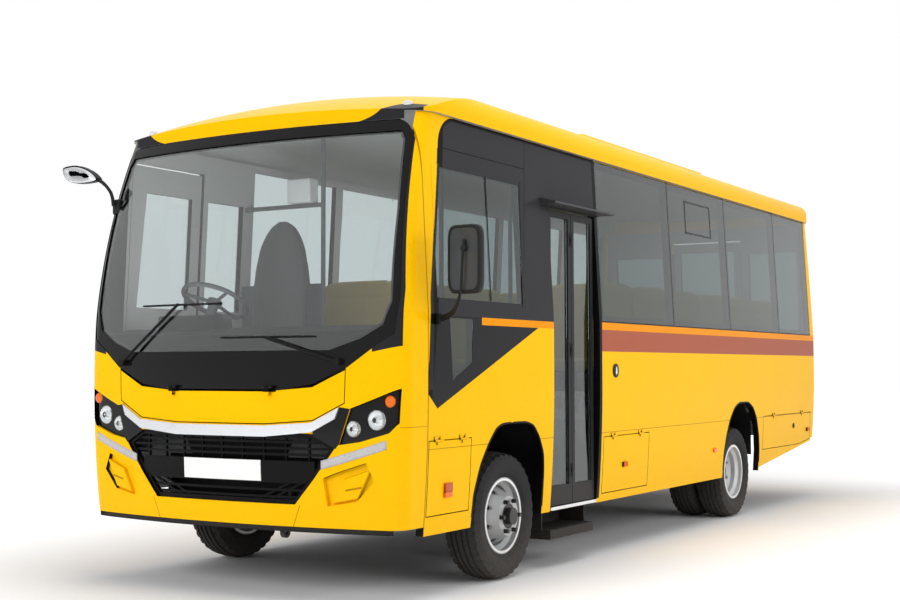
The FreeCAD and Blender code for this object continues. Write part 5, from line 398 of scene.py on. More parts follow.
def hatch_paint():
    """Yellow hatch with black hinges and a dark back."""
    coat = paint_finish("hatch_paint")
    x, _, z = coat.axes(coat.place)
    hinge = coat.every(coat.between(coat.size(x), *HATCH_HINGES), coat.above(z, HINGE_LOW))
    colour = coat.layered(YELLOW, (hinge, RUBBER), (inward(coat, True), RUBBER))
    return enliven(coat, colour, 0.30, grime=0.05)


def nose_paint():
    """Yellow moulding whose black screen surround runs on round the corners of the panel, with a slanting
    seam under each end of the grille, a level one at the pillar's foot and a hem at the side, all drawn in
    darker yellow as painted shade."""
    coat = paint_finish("nose_paint")
    x, y, z = coat.axes(coat.place)
    across = coat.size(x)
    foot = edge_curve(coat, across, SCREEN_FOOT, 1.0, 0.0, 3.0, 1.192, 1.40, straight=True)
    side_edge = coat.times_plus(coat.most(coat.minus(z, SIDE_LEAN_Z), 0.0), SIDE_LEAN, SIDE_EDGE)
    dark = coat.every(coat.above(z, coat.times(foot, 3.0)), coat.below(across, side_edge))
    from_seam = coat.minus(across, coat.times_plus(z, SLANT, SLANT_X))
    seam = coat.every(coat.between(from_seam, -SLANT_HALF, SLANT_HALF), coat.below(z, SLANT_TOP))
    level = coat.every(coat.between(z, *PILLAR_JOINT), coat.above(across, PILLAR_JOINT_X))
    hem = coat.above(coat.minus(y, AXLE_Y), NOSE_HEM)
    colour = coat.layered(YELLOW, (dark, DEEP_BLACK), (coat.either(seam, level, hem), SEAM_SHADE_YELLOW),
                          (inward(coat, True), RUBBER))
    return enliven(coat, colour, 0.28, grime=0.05)


def tail_paint():
    """Yellow tail with the waist bands carried round it and a dark band between its windows."""
    coat = paint_finish("tail_paint")
    x, _, z = coat.axes(coat.place)
    band = coat.every(coat.between(z, *TAIL_BAND), coat.below(coat.size(x), TAIL_BAND_HALF))
    colour = coat.layered(YELLOW, (coat.between(z, *BROWN_BAND), BROWN),
                          (coat.between(z, *ORANGE_BAND), ORANGE), (band, BLACK),
                          (coat.below(coat.axes(coat.normal)[1], -0.4), LAMINATE),
                          (coat.below(z, BUMPER_TOP), YELLOW))
    return enliven(coat, colour, 0.30, grime=0.10)


def dress(material, *names):
    """Gives CAD nodes a material in every slot of theirs."""
    for name in names:
        data = nodes[name].data
        data.materials.clear()
        data.materials.append(material)


dress(roof_paint("roof_paint", False), "roof")
dress(roof_paint("cap_paint", True), "front_cap")
dress(plain_paint("roof_pod_paint", ROOF_YELLOW), "roof_pod")
dress(side_paint("entrance_side_paint", True), "left_side_wall", "flap_front", "flap_middle", "flap_rear")
dress(side_paint("driver_side_paint", False), "right_side_wall", "driver_door")
dress(tail_paint(), "rear_wall", "emergency_door")
dress(nose_paint(), "front_fascia")
dress(hatch_paint(), "front_hatch")


# Black mouldings
# Glossy black glass-like panel round the screen and in the lamp pods; grained black plastic for the
# grille, wipers, canopy, door leaves, step treads and wheel housings.
def moulded(name, colour, roughness, bump, scale=30.0, shade=0.05, grime=0.3, metal=0.0, coat=0.0, top=0.7,
            shine=0.2):
    """A rigid finish in one colour with its own grain."""
    finish = Finish(name)
    finish.set(Specular_IOR_Level=shine, Metallic=metal, Coat_Weight=coat, Coat_Roughness=0.05)
    return enliven(finish, colour, roughness, scale, shade, 0.12, grime, top, bump)


black_gloss = moulded("black_gloss", srgb(20, 20, 21), 0.12, 0.0, 5.0, coat=0.08, grime=0.1, shine=0.1)
black_plastic = moulded("black_plastic", srgb(24, 24, 25), 0.48, 0.0006, 60.0, shine=0.1)
grille_black = moulded("grille_black", srgb(10, 10, 11), 0.42, 0.0003, 60.0, grime=0.0, shine=0.1)
canopy_grey = moulded("canopy_grey", srgb(62, 62, 64), 0.40, 0.0004, 40.0, grime=0.0)
leaf_black = moulded("leaf_black", srgb(38, 38, 40), 0.40, 0.0003, 40.0, grime=0.2, shine=0.1)
dress(black_gloss, "windscreen_surround", "headlamp_housings")
dress(grille_black, "grille")
dress(canopy_grey, "door_canopy")
dress(leaf_black, "door_leaf_front", "door_leaf_rear")
dress(black_plastic, "wipers", "wheel_housings", "entrance_steps")


# Glass
# Laminated clear screen and body-tinted side, door and rear panes, bonded flush. Every pane is a
# closed sheet, so it refracts as it should.
def glass(name, colour, bending=1.45):
    """Clear or tinted pane with faint smears in its gloss."""
    finish = Finish(name)
    smear = finish.add("TexNoise", finish.place)
    smear.inputs["Scale"].default_value = 2.5
    patch = finish.add("MapRange", smear.outputs[0], 0.62, 0.80, 0.0, 0.03)
    finish.set(Base_Color=(*colour, 1), Transmission_Weight=1.0, IOR=bending, Roughness=patch.outputs[0])
    return finish.material


dress(glass("screen_glass", (0.80, 0.84, 0.84), 1.60), "windscreen")
dress(glass("tinted_glass", (0.24, 0.30, 0.30)), "left_glazing", "emergency_glass", "rear_glazing")
dress(glass("light_tint_glass", (0.62, 0.68, 0.68)), "right_glazing", "driver_door_glass")
dress(glass("door_glass", (0.42, 0.48, 0.48)), "door_glass_front", "door_glass_rear")


# Nose trim
# A polished bar over the grille, a silvery reflective strip and a raised panel in the recess on each side
# of the bumper moulding, a slot painted darker yellow as painted shade in each recess, black wedges beside
# the lamp pods, a blank plate, and a black sheet behind the grille that stands in for the radiator and the
# shade there.
FLANK_X, TUCK_Z, LEAN_Z, LEAN = 1.1875, 1.25, 1.632, 0.0526
LOW_SAG_Z, HIGH_SAG_Z, BOW_RADIUS, NOSE_CORNER, NOSE_BACK = 1.20, 1.35, 5.0, 0.120, -1.395


def arc_radius(run, sag):
    """The radius of a circle that falls by a sag over a run."""
    return (run ** 2 + sag ** 2) / (2 * sag)


def fall(radius, run):
    """How far a circle has fallen from its crown after a run."""
    return radius - np.sqrt(radius ** 2 - np.clip(run, 0, None) ** 2)


def flank_x(z):
    """The flank's place across at a height: upright between two heights, tucked in below as a circle's sag,
    and leaning in above by 60.5 mm in 1.15 m."""
    z = np.asarray(z, float)
    return FLANK_X - fall(arc_radius(0.88, 0.0375), TUCK_Z - z) - LEAN * np.clip(z - LEAN_Z, 0, None)


def skin_of_nose(x, z, proud):
    """The nose face as a surface: a bow of 5 m radius in plan, less a sag that grows above z 1.35 and
    below z 1.20 as a circle's does, turned into the side over a 120 mm corner that touches both."""
    x, z, proud = np.broadcast_arrays(np.asarray(x, float), np.asarray(z, float), np.asarray(proud, float))
    sag = fall(arc_radius(0.83, 0.038), LOW_SAG_Z - z) + fall(arc_radius(1.432, 0.300), z - HIGH_SAG_Z)
    bow, centre = BOW_RADIUS - sag, AXLE_Y + NOSE_BACK + BOW_RADIUS
    turn_x = flank_x(z) - NOSE_CORNER
    turn_y = centre - np.sqrt((bow - NOSE_CORNER) ** 2 - turn_x ** 2)
    meets = turn_x * bow / (bow - NOSE_CORNER)
    across = np.minimum(np.abs(x), turn_x + NOSE_CORNER + proud - 0.0005)
    past = np.clip(across - turn_x, 0, None)
    round_y = turn_y - np.sqrt(np.clip((NOSE_CORNER + proud) ** 2 - past ** 2, 0, None))
    return np.where(across > meets, round_y, centre - np.sqrt((bow + proud) ** 2 - across ** 2))


def grid_faces(rows, columns, round_rows=False, round_columns=False):
    """Quads between neighbours of a grid of points stored row by row."""
    r = np.arange(rows if round_rows else rows - 1)
    c = np.arange(columns if round_columns else columns - 1)
    a, b = np.meshgrid(r, c, indexing="ij")
    a2, b2 = (a + 1) % rows, (b + 1) % columns
    quads = np.stack([a * columns + b, a * columns + b2, a2 * columns + b2, a2 * columns + b], -1)
    return quads.reshape(-1, 4)


def piece_from(name, parts, material, body="coach", smooth=True):
    """A mesh piece that rides on a body, made of one or several (points, faces) shapes."""
    points, faces = [], []
    for some, quads in parts:
        base = len(points)
        points += np.asarray(some, float).reshape(-1, 3).tolist()
        faces += [[int(i) + base for i in f] for f in quads]
    mesh = bpy.data.meshes.new(name)
    mesh.from_pydata(points, [], faces)
    mesh.materials.append(material)
    if smooth:
        mesh.polygons.foreach_set("use_smooth", np.ones(len(mesh.polygons), bool))
    mesh.validate()
    mesh.update()
    thing = bpy.data.objects.new(name, mesh)
    scene.collection.objects.link(thing)
    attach(thing, body)
    return thing


def nose_strip(line, width, proud):
    """A band on the nose along a line of (x, z) places, a width up and down, closed to the skin."""
    line = np.array(line, float)
    t, knots = np.linspace(0, 1, 24), np.linspace(0, 1, len(line))
    x, z = np.interp(t, knots, line[:, 0]), np.interp(t, knots, line[:, 1])
    section = np.array([(-0.5, -0.001), (-0.5, proud), (-0.25, proud + 0.0006), (0.25, proud + 0.0006),
                        (0.5, proud), (0.5, -0.001)])
    up = z[:, None] + section[None, :, 0] * width
    across = np.repeat(x[:, None], len(section), 1)
    return lofted(np.stack([across, skin_of_nose(across, up, section[None, :, 1]), up], -1))


def lofted(rings):
    """Rings of the same number of points joined one to the next, closed at both ends."""
    rings = np.asarray(rings, float)
    rows, columns = rings.shape[:2]
    faces = grid_faces(rows, columns, round_columns=True).tolist()
    faces += [list(range(columns)), list(range(rows * columns - 1, (rows - 1) * columns - 1, -1))]
    return rings.reshape(-1, 3), faces


reflective = Finish("reflective_tape")
cells = reflective.add("TexVoronoi", reflective.place)
cells.inputs["Scale"].default_value = 260.0
tone = reflective.over(cells.outputs["Distance"], srgb(204, 202, 202), srgb(160, 158, 158))
enliven(reflective, tone, 0.30, 8.0, 0.10, 0.2, 0.1, 0.7, 0.0002)
reflective.set(Metallic=0.2)
BAND, BAND_WIDTH, BAND_PROUD = ((0.690, 0.772), (0.80, 0.803), (0.95, 0.848), (1.085, 0.892)), 0.050, 0.0012
strips = [nose_strip([(side * x, z) for x, z in BAND], BAND_WIDTH, BAND_PROUD) for side in (1, -1)]
piece_from("reflective_strips", strips, reflective.material)

polished = moulded("polished_trim", srgb(206, 208, 211), 0.20, 0.0, 8.0, 0.02, 0.02, metal=0.7, coat=0.1)
dress(polished, "chrome_bar")


def bilinear(a, b, c, d, rows, columns):
    """A grid of places between four corners: a to b along one edge, c to d along the other."""
    u, v = np.meshgrid(np.linspace(0, 1, columns), np.linspace(0, 1, rows))
    u, v = u[..., None], v[..., None]
    a, b, c, d = np.array((a, b, c, d), float)
    return (1 - v) * ((1 - u) * a + u * b) + v * ((1 - u) * c + u * d)


def closed_layers(layers):
    """Grids of points laid one over the next as a closed shape: the first is its back, the last its face, and
    walls join their rims."""
    rows, columns = layers[0].shape[:2]
    rim = [(0, c) for c in range(columns)] + [(r, columns - 1) for r in range(1, rows)]
    rim += [(rows - 1, c) for c in range(columns - 2, -1, -1)] + [(r, 0) for r in range(rows - 2, 0, -1)]
    ids, size = np.array([r * columns + c for r, c in rim]), rows * columns
    flat, following = grid_faces(rows, columns), np.roll(ids, -1)
    faces = (flat + (len(layers) - 1) * size).tolist() + flat[:, ::-1].tolist()
    for low in range(0, (len(layers) - 1) * size, size):
        high = low + size
        faces += np.stack([ids + low, following + low, following + high, ids + high], -1).tolist()
    return np.concatenate([layer.reshape(-1, 3) for layer in layers]), faces


def plate_on_nose(x0, x1, z0, z1, proud, thick, edge):
    """A thin plate that follows the nose's bow, its front drawn in by an edge."""
    u, v = np.meshgrid(np.linspace(0, 1, 17), np.linspace(0, 1, 7))
    layers = []
    for inset, out in ((0.0, proud), (0.0, proud + thick - edge / 2), (edge, proud + thick)):
        x = x0 + inset + (x1 - x0 - 2 * inset) * u
        z = z0 + inset + (z1 - z0 - 2 * inset) * v
        layers.append(np.stack([x, skin_of_nose(x, z, out), z], -1))
    return closed_layers(layers)


def nose_panel(side, outline, proud, depth, edge):
    """A panel between four (x, z) corners, upper edge then lower edge from the middle outwards: its face near
    the skin, its edges sloping back to a depth."""
    flat = bilinear(*outline, 9, 9)
    x, z = flat[..., 0], flat[..., 1]
    middle_x, middle_z = x.mean(), z.mean()
    layers = []
    for grow, out in ((1.0, depth), (1.0, proud - edge), (1.0 - edge / 0.12, proud)):
        across, up = middle_x + (x - middle_x) * grow, middle_z + (z - middle_z) * grow
        layers.append(np.stack([side * across, skin_of_nose(across, up, out), up], -1))
    return closed_layers(layers)


blank_plate = moulded("blank_plate", srgb(244, 244, 242), 0.35, 0.0, 12.0, 0.02, 0.0)
PLATE, PLATE_SET, PLATE_THICK, PLATE_EDGE = (-0.286, 0.286, 0.672, 0.790), -0.0135, 0.006, 0.003
piece_from("front_plate", [plate_on_nose(*PLATE, PLATE_SET, PLATE_THICK, PLATE_EDGE)], blank_plate,
           smooth=False)
LIP, LIP_WIDTH, LIP_SET = ((-1.10, 0.409), (1.10, 0.409)), 0.030, -0.004
piece_from("under_lip", [nose_strip(LIP, LIP_WIDTH, LIP_SET)], black_plastic)
RECESS_PANEL = ((0.826, 0.700), (0.990, 0.757), (0.752, 0.560), (0.905, 0.590))
RECESS_SLOT = ((0.835, 0.636), (0.930, 0.655))
POD_WEDGES = (((0.648, 0.985), (0.812, 1.080), (0.640, 0.936), (0.783, 0.864)),
              ((0.808, 1.096), (0.871, 1.087), (0.782, 0.866), (0.801, 0.887)))
panels = [nose_panel(side, RECESS_PANEL, -0.004, -0.0255, 0.008) for side in (1, -1)]
slots = [nose_strip([(side * x, z) for x, z in RECESS_SLOT], 0.009, -0.0032) for side in (1, -1)]
wedges = [nose_panel(side, outline, 0.0012, -0.001, 0.0004) for side in (1, -1) for outline in POD_WEDGES]
trim_yellow = plain_paint("recess_yellow", YELLOW)
# A black sheet behind the grille: painted shade that keeps the bright floor from showing through the mesh,
# standing in for the radiator and the dark space behind it.
GRILLE_SHADE, GRILLE_SHADE_SET, GRILLE_SHADE_THICK, GRILLE_SHADE_EDGE = (-0.55, 0.55, 0.50, 0.92), -0.17, 0.012, 0.002
piece_from("pod_wedges", wedges, black_gloss, smooth=False)
piece_from("grille_shade_sheet", [plate_on_nose(*GRILLE_SHADE, GRILLE_SHADE_SET, GRILLE_SHADE_THICK, GRILLE_SHADE_EDGE)], grille_black,
           smooth=False)
piece_from("bumper_recess_panels", panels, trim_yellow, smooth=False)
# The slots are painted a darker yellow as painted shade inside them.
piece_from("bumper_recess_slots", slots, plain_paint("slot_shade", SEAM_SHADE_YELLOW))


# Running gear
# Silver painted pressed-steel wheels with dark hubs, dark chassis enamel, cast knuckles and engine, and
# bare metal on the driveline and exhaust.
chassis_enamel = moulded("chassis_enamel", srgb(34, 35, 37), 0.42, 0.0008, 22.0, 0.08, 0.6, top=0.9)
cast_iron = moulded("cast_iron", srgb(84, 84, 86), 0.55, 0.0016, 60.0, 0.12, 0.5, metal=0.6)
bare_alloy = moulded("bare_alloy", srgb(150, 152, 154), 0.38, 0.0006, 30.0, 0.08, 0.4, metal=0.85)
rubber = moulded("tyre_rubber", srgb(40, 40, 41), 0.72, 0.0006, 45.0, 0.10, 0.35, top=0.5)
dress(chassis_enamel, "chassis_frame", "leaf_springs", "front_axle_beam", "rear_axle", "tie_rod", "fuel_tank")
dress(cast_iron, "engine_block", "knuckle_left", "knuckle_right")
dress(bare_alloy, "propeller_shaft", "exhaust")

TYRE_RADIUS, REAR_AXLE_Y = 0.394, 1.560
HUB_RADIUS, STUD_CIRCLE, STUD_RADIUS, BRIGHT_RING = 0.0785, 0.1025, 0.0145, (0.218, 0.229)


def wheel_finish(name, centre_y, colour):
    """Silver disc with a dark hub and six dark studs on their circle, told by the distance from the axle."""
    finish = Finish(name)
    _, y, z = finish.axes(finish.place)
    up, along = finish.minus(z, TYRE_RADIUS), finish.minus(y, centre_y)
    out = finish.far(up, along)
    sixth = finish.wrap(finish.angle(up, along), math.pi / 6, -math.pi / 6)
    over = finish.minus(finish.times(out, finish.cosine(sixth)), STUD_CIRCLE)
    stud = finish.below(finish.far(over, finish.times(out, finish.sine(sixth))), STUD_RADIUS)
    dark = finish.either(stud, finish.below(out, HUB_RADIUS))
    colour = finish.layered(colour, (finish.between(out, *BRIGHT_RING), srgb(236, 237, 238)),
                            (dark, srgb(40, 40, 41)))
    finish.set(Metallic=0.35)
    return enliven(finish, colour, 0.36, 14.0, 0.05, 0.12, 0.15, 0.3, 0.0004)


# The front wheels take a darker silver than the rear ones: painted shade on the same silver paint.
dress(wheel_finish("front_wheel_finish", AXLE_Y, srgb(172, 173, 174)), "wheel_front_left",
      "wheel_front_right")
dress(wheel_finish("rear_wheel_finish", REAR_AXLE_Y, srgb(205, 206, 207)), "wheels_rear_left",
      "wheels_rear_right")


# Cab and saloon
# Dark grained plastic dashboard and steering wheel, grey deck, dark grey seat frames and rails, and a
# plain white first-aid box.
cab_plastic = moulded("cab_plastic", srgb(32, 34, 36), 0.55, 0.0010, 90.0, 0.05, 0.0)
deck_sheet = moulded("deck_sheet", srgb(92, 94, 96), 0.60, 0.0012, 70.0, 0.08, 0.4, top=1.2)
rail_paint = moulded("rail_paint", srgb(88, 92, 94), 0.35, 0.0, 20.0, 0.03, 0.0)
frame_paint = moulded("seat_frame_paint", srgb(66, 68, 70), 0.4, 0.0, 20.0, 0.03, 0.1)
box_white = moulded("first_aid_white", srgb(226, 228, 228), 0.45, 0.0003, 40.0, 0.02, 0.0)
dress(cab_plastic, "dashboard", "steering_wheel")
dress(deck_sheet, "floor")
dress(rail_paint, "grab_rails")
dress(frame_paint, "seat_frames")
dress(box_white, "first_aid_box")


def cloth_finish(name, colour, dark, scale=340.0):
    """Woven cloth: crossing waves for warp and weft, with a nap that lightens at the rim."""
    finish = Finish(name)
    warp = finish.add("TexWave", finish.place, bands_direction="X")
    weft = finish.add("TexWave", finish.place, bands_direction="Z")
    for wave in (warp, weft):
        wave.inputs["Scale"].default_value = scale
        wave.inputs["Distortion"].default_value = 1.2
    weave = finish.times(warp.outputs["Fac"], weft.outputs["Fac"])
    tone = finish.over(weave, dark, colour)
    enliven(finish, tone, 0.85, 9.0, 0.10, 0.05, 0.0)
    finish.relief(weave, 0.0012)
    finish.set(Sheen_Weight=0.25)
    return finish.material


bench_cloth = cloth_finish("bench_cloth", srgb(206, 184, 70), srgb(150, 130, 40))
driver_cloth = cloth_finish("driver_cloth", srgb(28, 32, 34), srgb(20, 23, 25))


# Benches
# Fourteen double benches: a foam cushion and a raked foam back in yellow cloth over each frame, sewn
# down between the two places and across the head of the back.
def rounded_form(size, power, rows=28, columns=72):
    """A block with soft edges: the superellipsoid whose three half axes are half the size, its sines and
    cosines raised to a power below one."""
    u = np.linspace(-math.pi / 2, math.pi / 2, rows)[:, None]
    v = np.linspace(-math.pi, math.pi, columns, endpoint=False)[None, :]

    def bent(w):
        return np.sign(w) * np.abs(w) ** power

    half = np.array(size) / 2
    x = half[0] * bent(np.cos(u)) * bent(np.cos(v))
    y = half[1] * bent(np.cos(u)) * bent(np.sin(v))
    z = half[2] * bent(np.sin(u)) * np.ones_like(v)
    points = np.stack(np.broadcast_arrays(x, y, z), -1).reshape(-1, 3)
    return points, grid_faces(rows, columns, round_columns=True).tolist()


def places_of(mesh):
    """A mesh's points as an array."""
    flat = np.zeros(len(mesh.vertices) * 3)
    mesh.vertices.foreach_get("co", flat)
    return flat.reshape(-1, 3)


def stuffed(points, faces, voxel, cap, name):
    """Foam under cloth: the form is remeshed evenly, blown up by the Cloth modifier for twenty frames with
    no gravity, and no point keeps more than the cap of its travel. Returns points and faces."""
    mesh = bpy.data.meshes.new(name)
    mesh.from_pydata(np.asarray(points).tolist(), [], faces)
    thing = bpy.data.objects.new(name, mesh)
    scene.collection.objects.link(thing)
    even = thing.modifiers.new("even", "REMESH")
    even.mode, even.voxel_size = "VOXEL", voxel
    evaluated = thing.evaluated_get(bpy.context.evaluated_depsgraph_get())
    thing.modifiers.clear()
    remeshed = bpy.data.meshes.new_from_object(evaluated)
    thing.data = remeshed
    start = end = places_of(remeshed)
    cloth = thing.modifiers.new("cloth", "CLOTH")
    cloth.settings.use_pressure = True
    cloth.settings.uniform_pressure_force = 4.0
    cloth.settings.effector_weights.gravity = 0.0
    for number in range(1, 21):
        scene.frame_set(number)
    end = places_of(thing.evaluated_get(bpy.context.evaluated_depsgraph_get()).to_mesh())
    scene.frame_set(1)
    travel = end - start
    length = np.maximum(np.linalg.norm(travel, axis=1, keepdims=True), 1e-9)
    end = start + travel * np.minimum(1.0, cap / length)
    quads = [list(p.vertices) for p in remeshed.polygons]
    bpy.data.objects.remove(thing)
    return end, quads


CUSHION_FORM, BACK_FORM, VOXEL = (0.836, 0.386, 0.082), (0.836, 0.062, 0.676), 0.014


def groove(place, half_width):
    """1 in the middle of a sewn line, falling off to its sides as a bell."""
    return np.exp(-(place / half_width) ** 2)


cushion = stuffed(*rounded_form(CUSHION_FORM, 0.30), VOXEL, 0.006, "cushion_form")
x, _, z = cushion[0].T
SEAM_DEPTH, SEAM_HALF, FINE_SEAM_HALF, SIDE_SEAM_X, HEAD_SEAM_Z = 0.007, 0.010, 0.008, 0.205, 0.20
seams = groove(x, SEAM_HALF) + 0.6 * groove(np.abs(x) - SIDE_SEAM_X, FINE_SEAM_HALF)
cushion[0][:, 2] -= SEAM_DEPTH * seams * (z > 0.01)
back = stuffed(*rounded_form(BACK_FORM, 0.34), VOXEL, 0.005, "back_form")
x, y, z = back[0].T
BACK_SEAM_DEPTH, BACK_HALF, BACK_RAKE = 0.006, 0.345, 0.060
seams = groove(x, SEAM_HALF) + 0.8 * groove(z - HEAD_SEAM_Z, FINE_SEAM_HALF)
back[0][:, 1] += BACK_SEAM_DEPTH * seams * np.sign(-y)
back[0][:, 1] += (z + BACK_HALF) / (2 * BACK_HALF) * BACK_RAKE
BENCH_ROWS, BENCH_PITCH, BENCH_X = ((1, 1.700, 6), (-1, 0.520, 8)), 0.700, 0.630
CUSHION_Y, CUSHION_Z, BACK_Y, BACK_Z = 0.200, 1.335, 0.4378, 1.635
cushions, backs = [], []
for side, first, rows in BENCH_ROWS:
    for row in range(rows):
        x, y = side * BENCH_X, AXLE_Y + first + BENCH_PITCH * row
        cushions.append((cushion[0] + (x, y + CUSHION_Y, CUSHION_Z), cushion[1]))
        backs.append((back[0] + (x, y + BACK_Y, BACK_Z), back[1]))
for name, parts, fill in (("bench_cushions", cushions, 0.7), ("bench_backs", backs, 0.6)):
    pads = piece_from(name, parts, bench_cloth)
    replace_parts(pads, "bench_seats")


# Driver's seat
# A dark dished cushion and a tall egg-shaped back with wings that lean forward, on a bellows box.
def super_ring(half_x, half_y, power=0.4, count=40):
    """A rounded rectangle in plan: the superellipse of two half widths."""
    v = np.linspace(0, 2 * math.pi, count, endpoint=False)
    c, s = np.cos(v), np.sin(v)
    return np.stack([half_x * np.sign(c) * np.abs(c) ** power, half_y * np.sign(s) * np.abs(s) ** power], -1)


SEAT_X, SEAT_BACK_Y, BASE_PLACE = -0.540, -2.742, (-0.540, -3.000, 1.372)
share = np.linspace(0, 1, 26)
half_width = np.interp(share, [0, 0.05, 0.35, 0.52, 0.68, 0.80, 0.89, 0.95, 0.985, 1.0],
                       [0.20, 0.235, 0.246, 0.240, 0.220, 0.190, 0.150, 0.110, 0.07, 0.03])
thick = np.interp(share, [0, 0.1, 0.5, 0.72, 0.85, 1.0], [0.045, 0.052, 0.048, 0.034, 0.040, 0.020])
rings = []
for z, wide, deep in zip(1.33 + 0.985 * share, half_width, thick):
    ring = super_ring(wide, deep, 0.55)
    wing = 0.018 * (np.abs(ring[:, 0]) / 0.24) ** 2
    rings.append(np.column_stack([ring[:, 0] + SEAT_X, ring[:, 1] - wing + SEAT_BACK_Y,
                                  np.full(len(ring), z)]))
seat_back = stuffed(*lofted(rings), 0.010, 0.005, "driver_back_form")
seat_form, seat_faces = rounded_form((0.480, 0.470, 0.115), 0.40)
seat_base = stuffed(seat_form + BASE_PLACE, seat_faces, 0.010, 0.005, "driver_base_form")
dish = np.exp(-((seat_base[0][:, 0] - SEAT_X) / 0.13) ** 4)
seat_base[0][:, 2] -= 0.018 * dish * (seat_base[0][:, 2] > 1.40)
for name, shape, fill in (("driver_cushion", seat_base, 0.7), ("driver_back", seat_back, 0.7)):
    pad = piece_from(name, [shape], driver_cloth)
    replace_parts(pad, "driver_seat")
bellows = []
for step, z in enumerate(np.linspace(0.945, 1.318, 19)):
    half = 0.150 + (0.006 if step % 2 else -0.006)
    ring = super_ring(half, half, 0.3)
    bellows.append(np.column_stack([ring[:, 0] + SEAT_X, ring[:, 1] - 3.068, np.full(len(ring), z)]))
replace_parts(piece_from("driver_pedestal", [lofted(bellows)], cab_plastic), "driver_seat")


# Tyres
# Radial lorry tyres: a tread of five ribs parted by four grooves, notched along the shoulders, with
# moulded rings on the walls. One at each front wheel, two side by side at the rear.
TREAD_HALF, WALL_TOP, GROOVE, NOTCH, SLICES = 0.104, 0.378, 0.011, 0.008, 180
FRONT_X, REAR_XS = 1.0125, (1.0125, 0.7475)


def tyre_shape(middle_x, middle_y):
    """A closed section of (across, radius) swept round the axle. The crown falls as the square of the
    place across; each groove takes its depth off in a narrow band, and the shoulder's notches come
    and go with the angle."""
    across = np.array([0.0, 0.012, 0.014, 0.024, 0.026, 0.050, 0.052, 0.062, 0.064, 0.080, 0.096, TREAD_HALF])
    radius = TYRE_RADIUS - 0.016 * (across / TREAD_HALF) ** 2
    for low, high in ((0.013, 0.025), (0.051, 0.063)):
        radius -= np.where((across > low) & (across < high), GROOVE, 0)
    notch = np.where((across > 0.07), 1.0, 0.0)
    turn = np.linspace(0.12, 1, 12)
    wall_a = TREAD_HALF + 0.0135 * np.sin(math.pi * np.minimum(turn * 1.02, 1.0)) - 0.016 * turn ** 3
    wall_a += np.where((np.arange(12) == 3) | (np.arange(12) == 8), 0.0015, 0)
    inner_a = np.array([0.088, 0.064, 0.098, 0.092, 0.060, 0.0])
    inner_r = np.array([0.2225, 0.2225, 0.300, 0.350, 0.368, 0.370])
    half_a = np.concatenate([across, wall_a, inner_a])
    half_r = np.concatenate([radius, WALL_TOP - 0.142 * turn, inner_r])
    half_n = np.concatenate([notch, np.where(turn < 0.2, 1.0, 0.0), np.zeros(6)])
    a = np.concatenate([half_a, -half_a[-2:0:-1]])
    r, n = (np.concatenate([half, half[-2:0:-1]]) for half in (half_r, half_n))
    angle = np.linspace(0, 2 * math.pi, SLICES, endpoint=False)
    pattern = (np.arange(SLICES) % 5 < 2).astype(float)
    spun = r[None, :] - NOTCH * n[None, :] * pattern[:, None]
    points = np.stack([np.broadcast_to(middle_x + a, spun.shape), middle_y + spun * np.cos(angle)[:, None],
                       TYRE_RADIUS + spun * np.sin(angle)[:, None]], -1)
    return points, grid_faces(SLICES, len(a), True, True).tolist()


for name, side in (("left", 1), ("right", -1)):
    front = piece_from("tyre_tread_front_" + name, [tyre_shape(side * FRONT_X, AXLE_Y)], rubber,
                       "wheel_front_" + name, smooth=False)
    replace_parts(front, "tyre_front_" + name)
    twins = [tyre_shape(side * x, REAR_AXLE_Y) for x in REAR_XS]
    rear = piece_from("tyre_treads_rear_" + name, twins, rubber, "wheels_rear_" + name,
                      smooth=False)
    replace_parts(rear, "tyres_rear_" + name)


# Lamps
# Each pod holds two bright bowls behind clear domes and an amber indicator. Amber markers and a two-part
# lamp stand on the flank, bright domes on the brow's corners, and three lenses on each side of the tail.
def lathe(section, place, rows=48):
    """A closed section of (radius, along) turned about an axis along Y at a place, nose side first."""
    section = np.array(section, float)
    angle = np.linspace(0, 2 * math.pi, rows, endpoint=False)[:, None]
    r, along = section[None, :, 0], section[None, :, 1]
    points = np.stack([place[0] + r * np.cos(angle), place[1] + along * np.ones_like(angle),
                       place[2] + r * np.sin(angle)], -1)
    return points, grid_faces(rows, len(section), True, True).tolist()


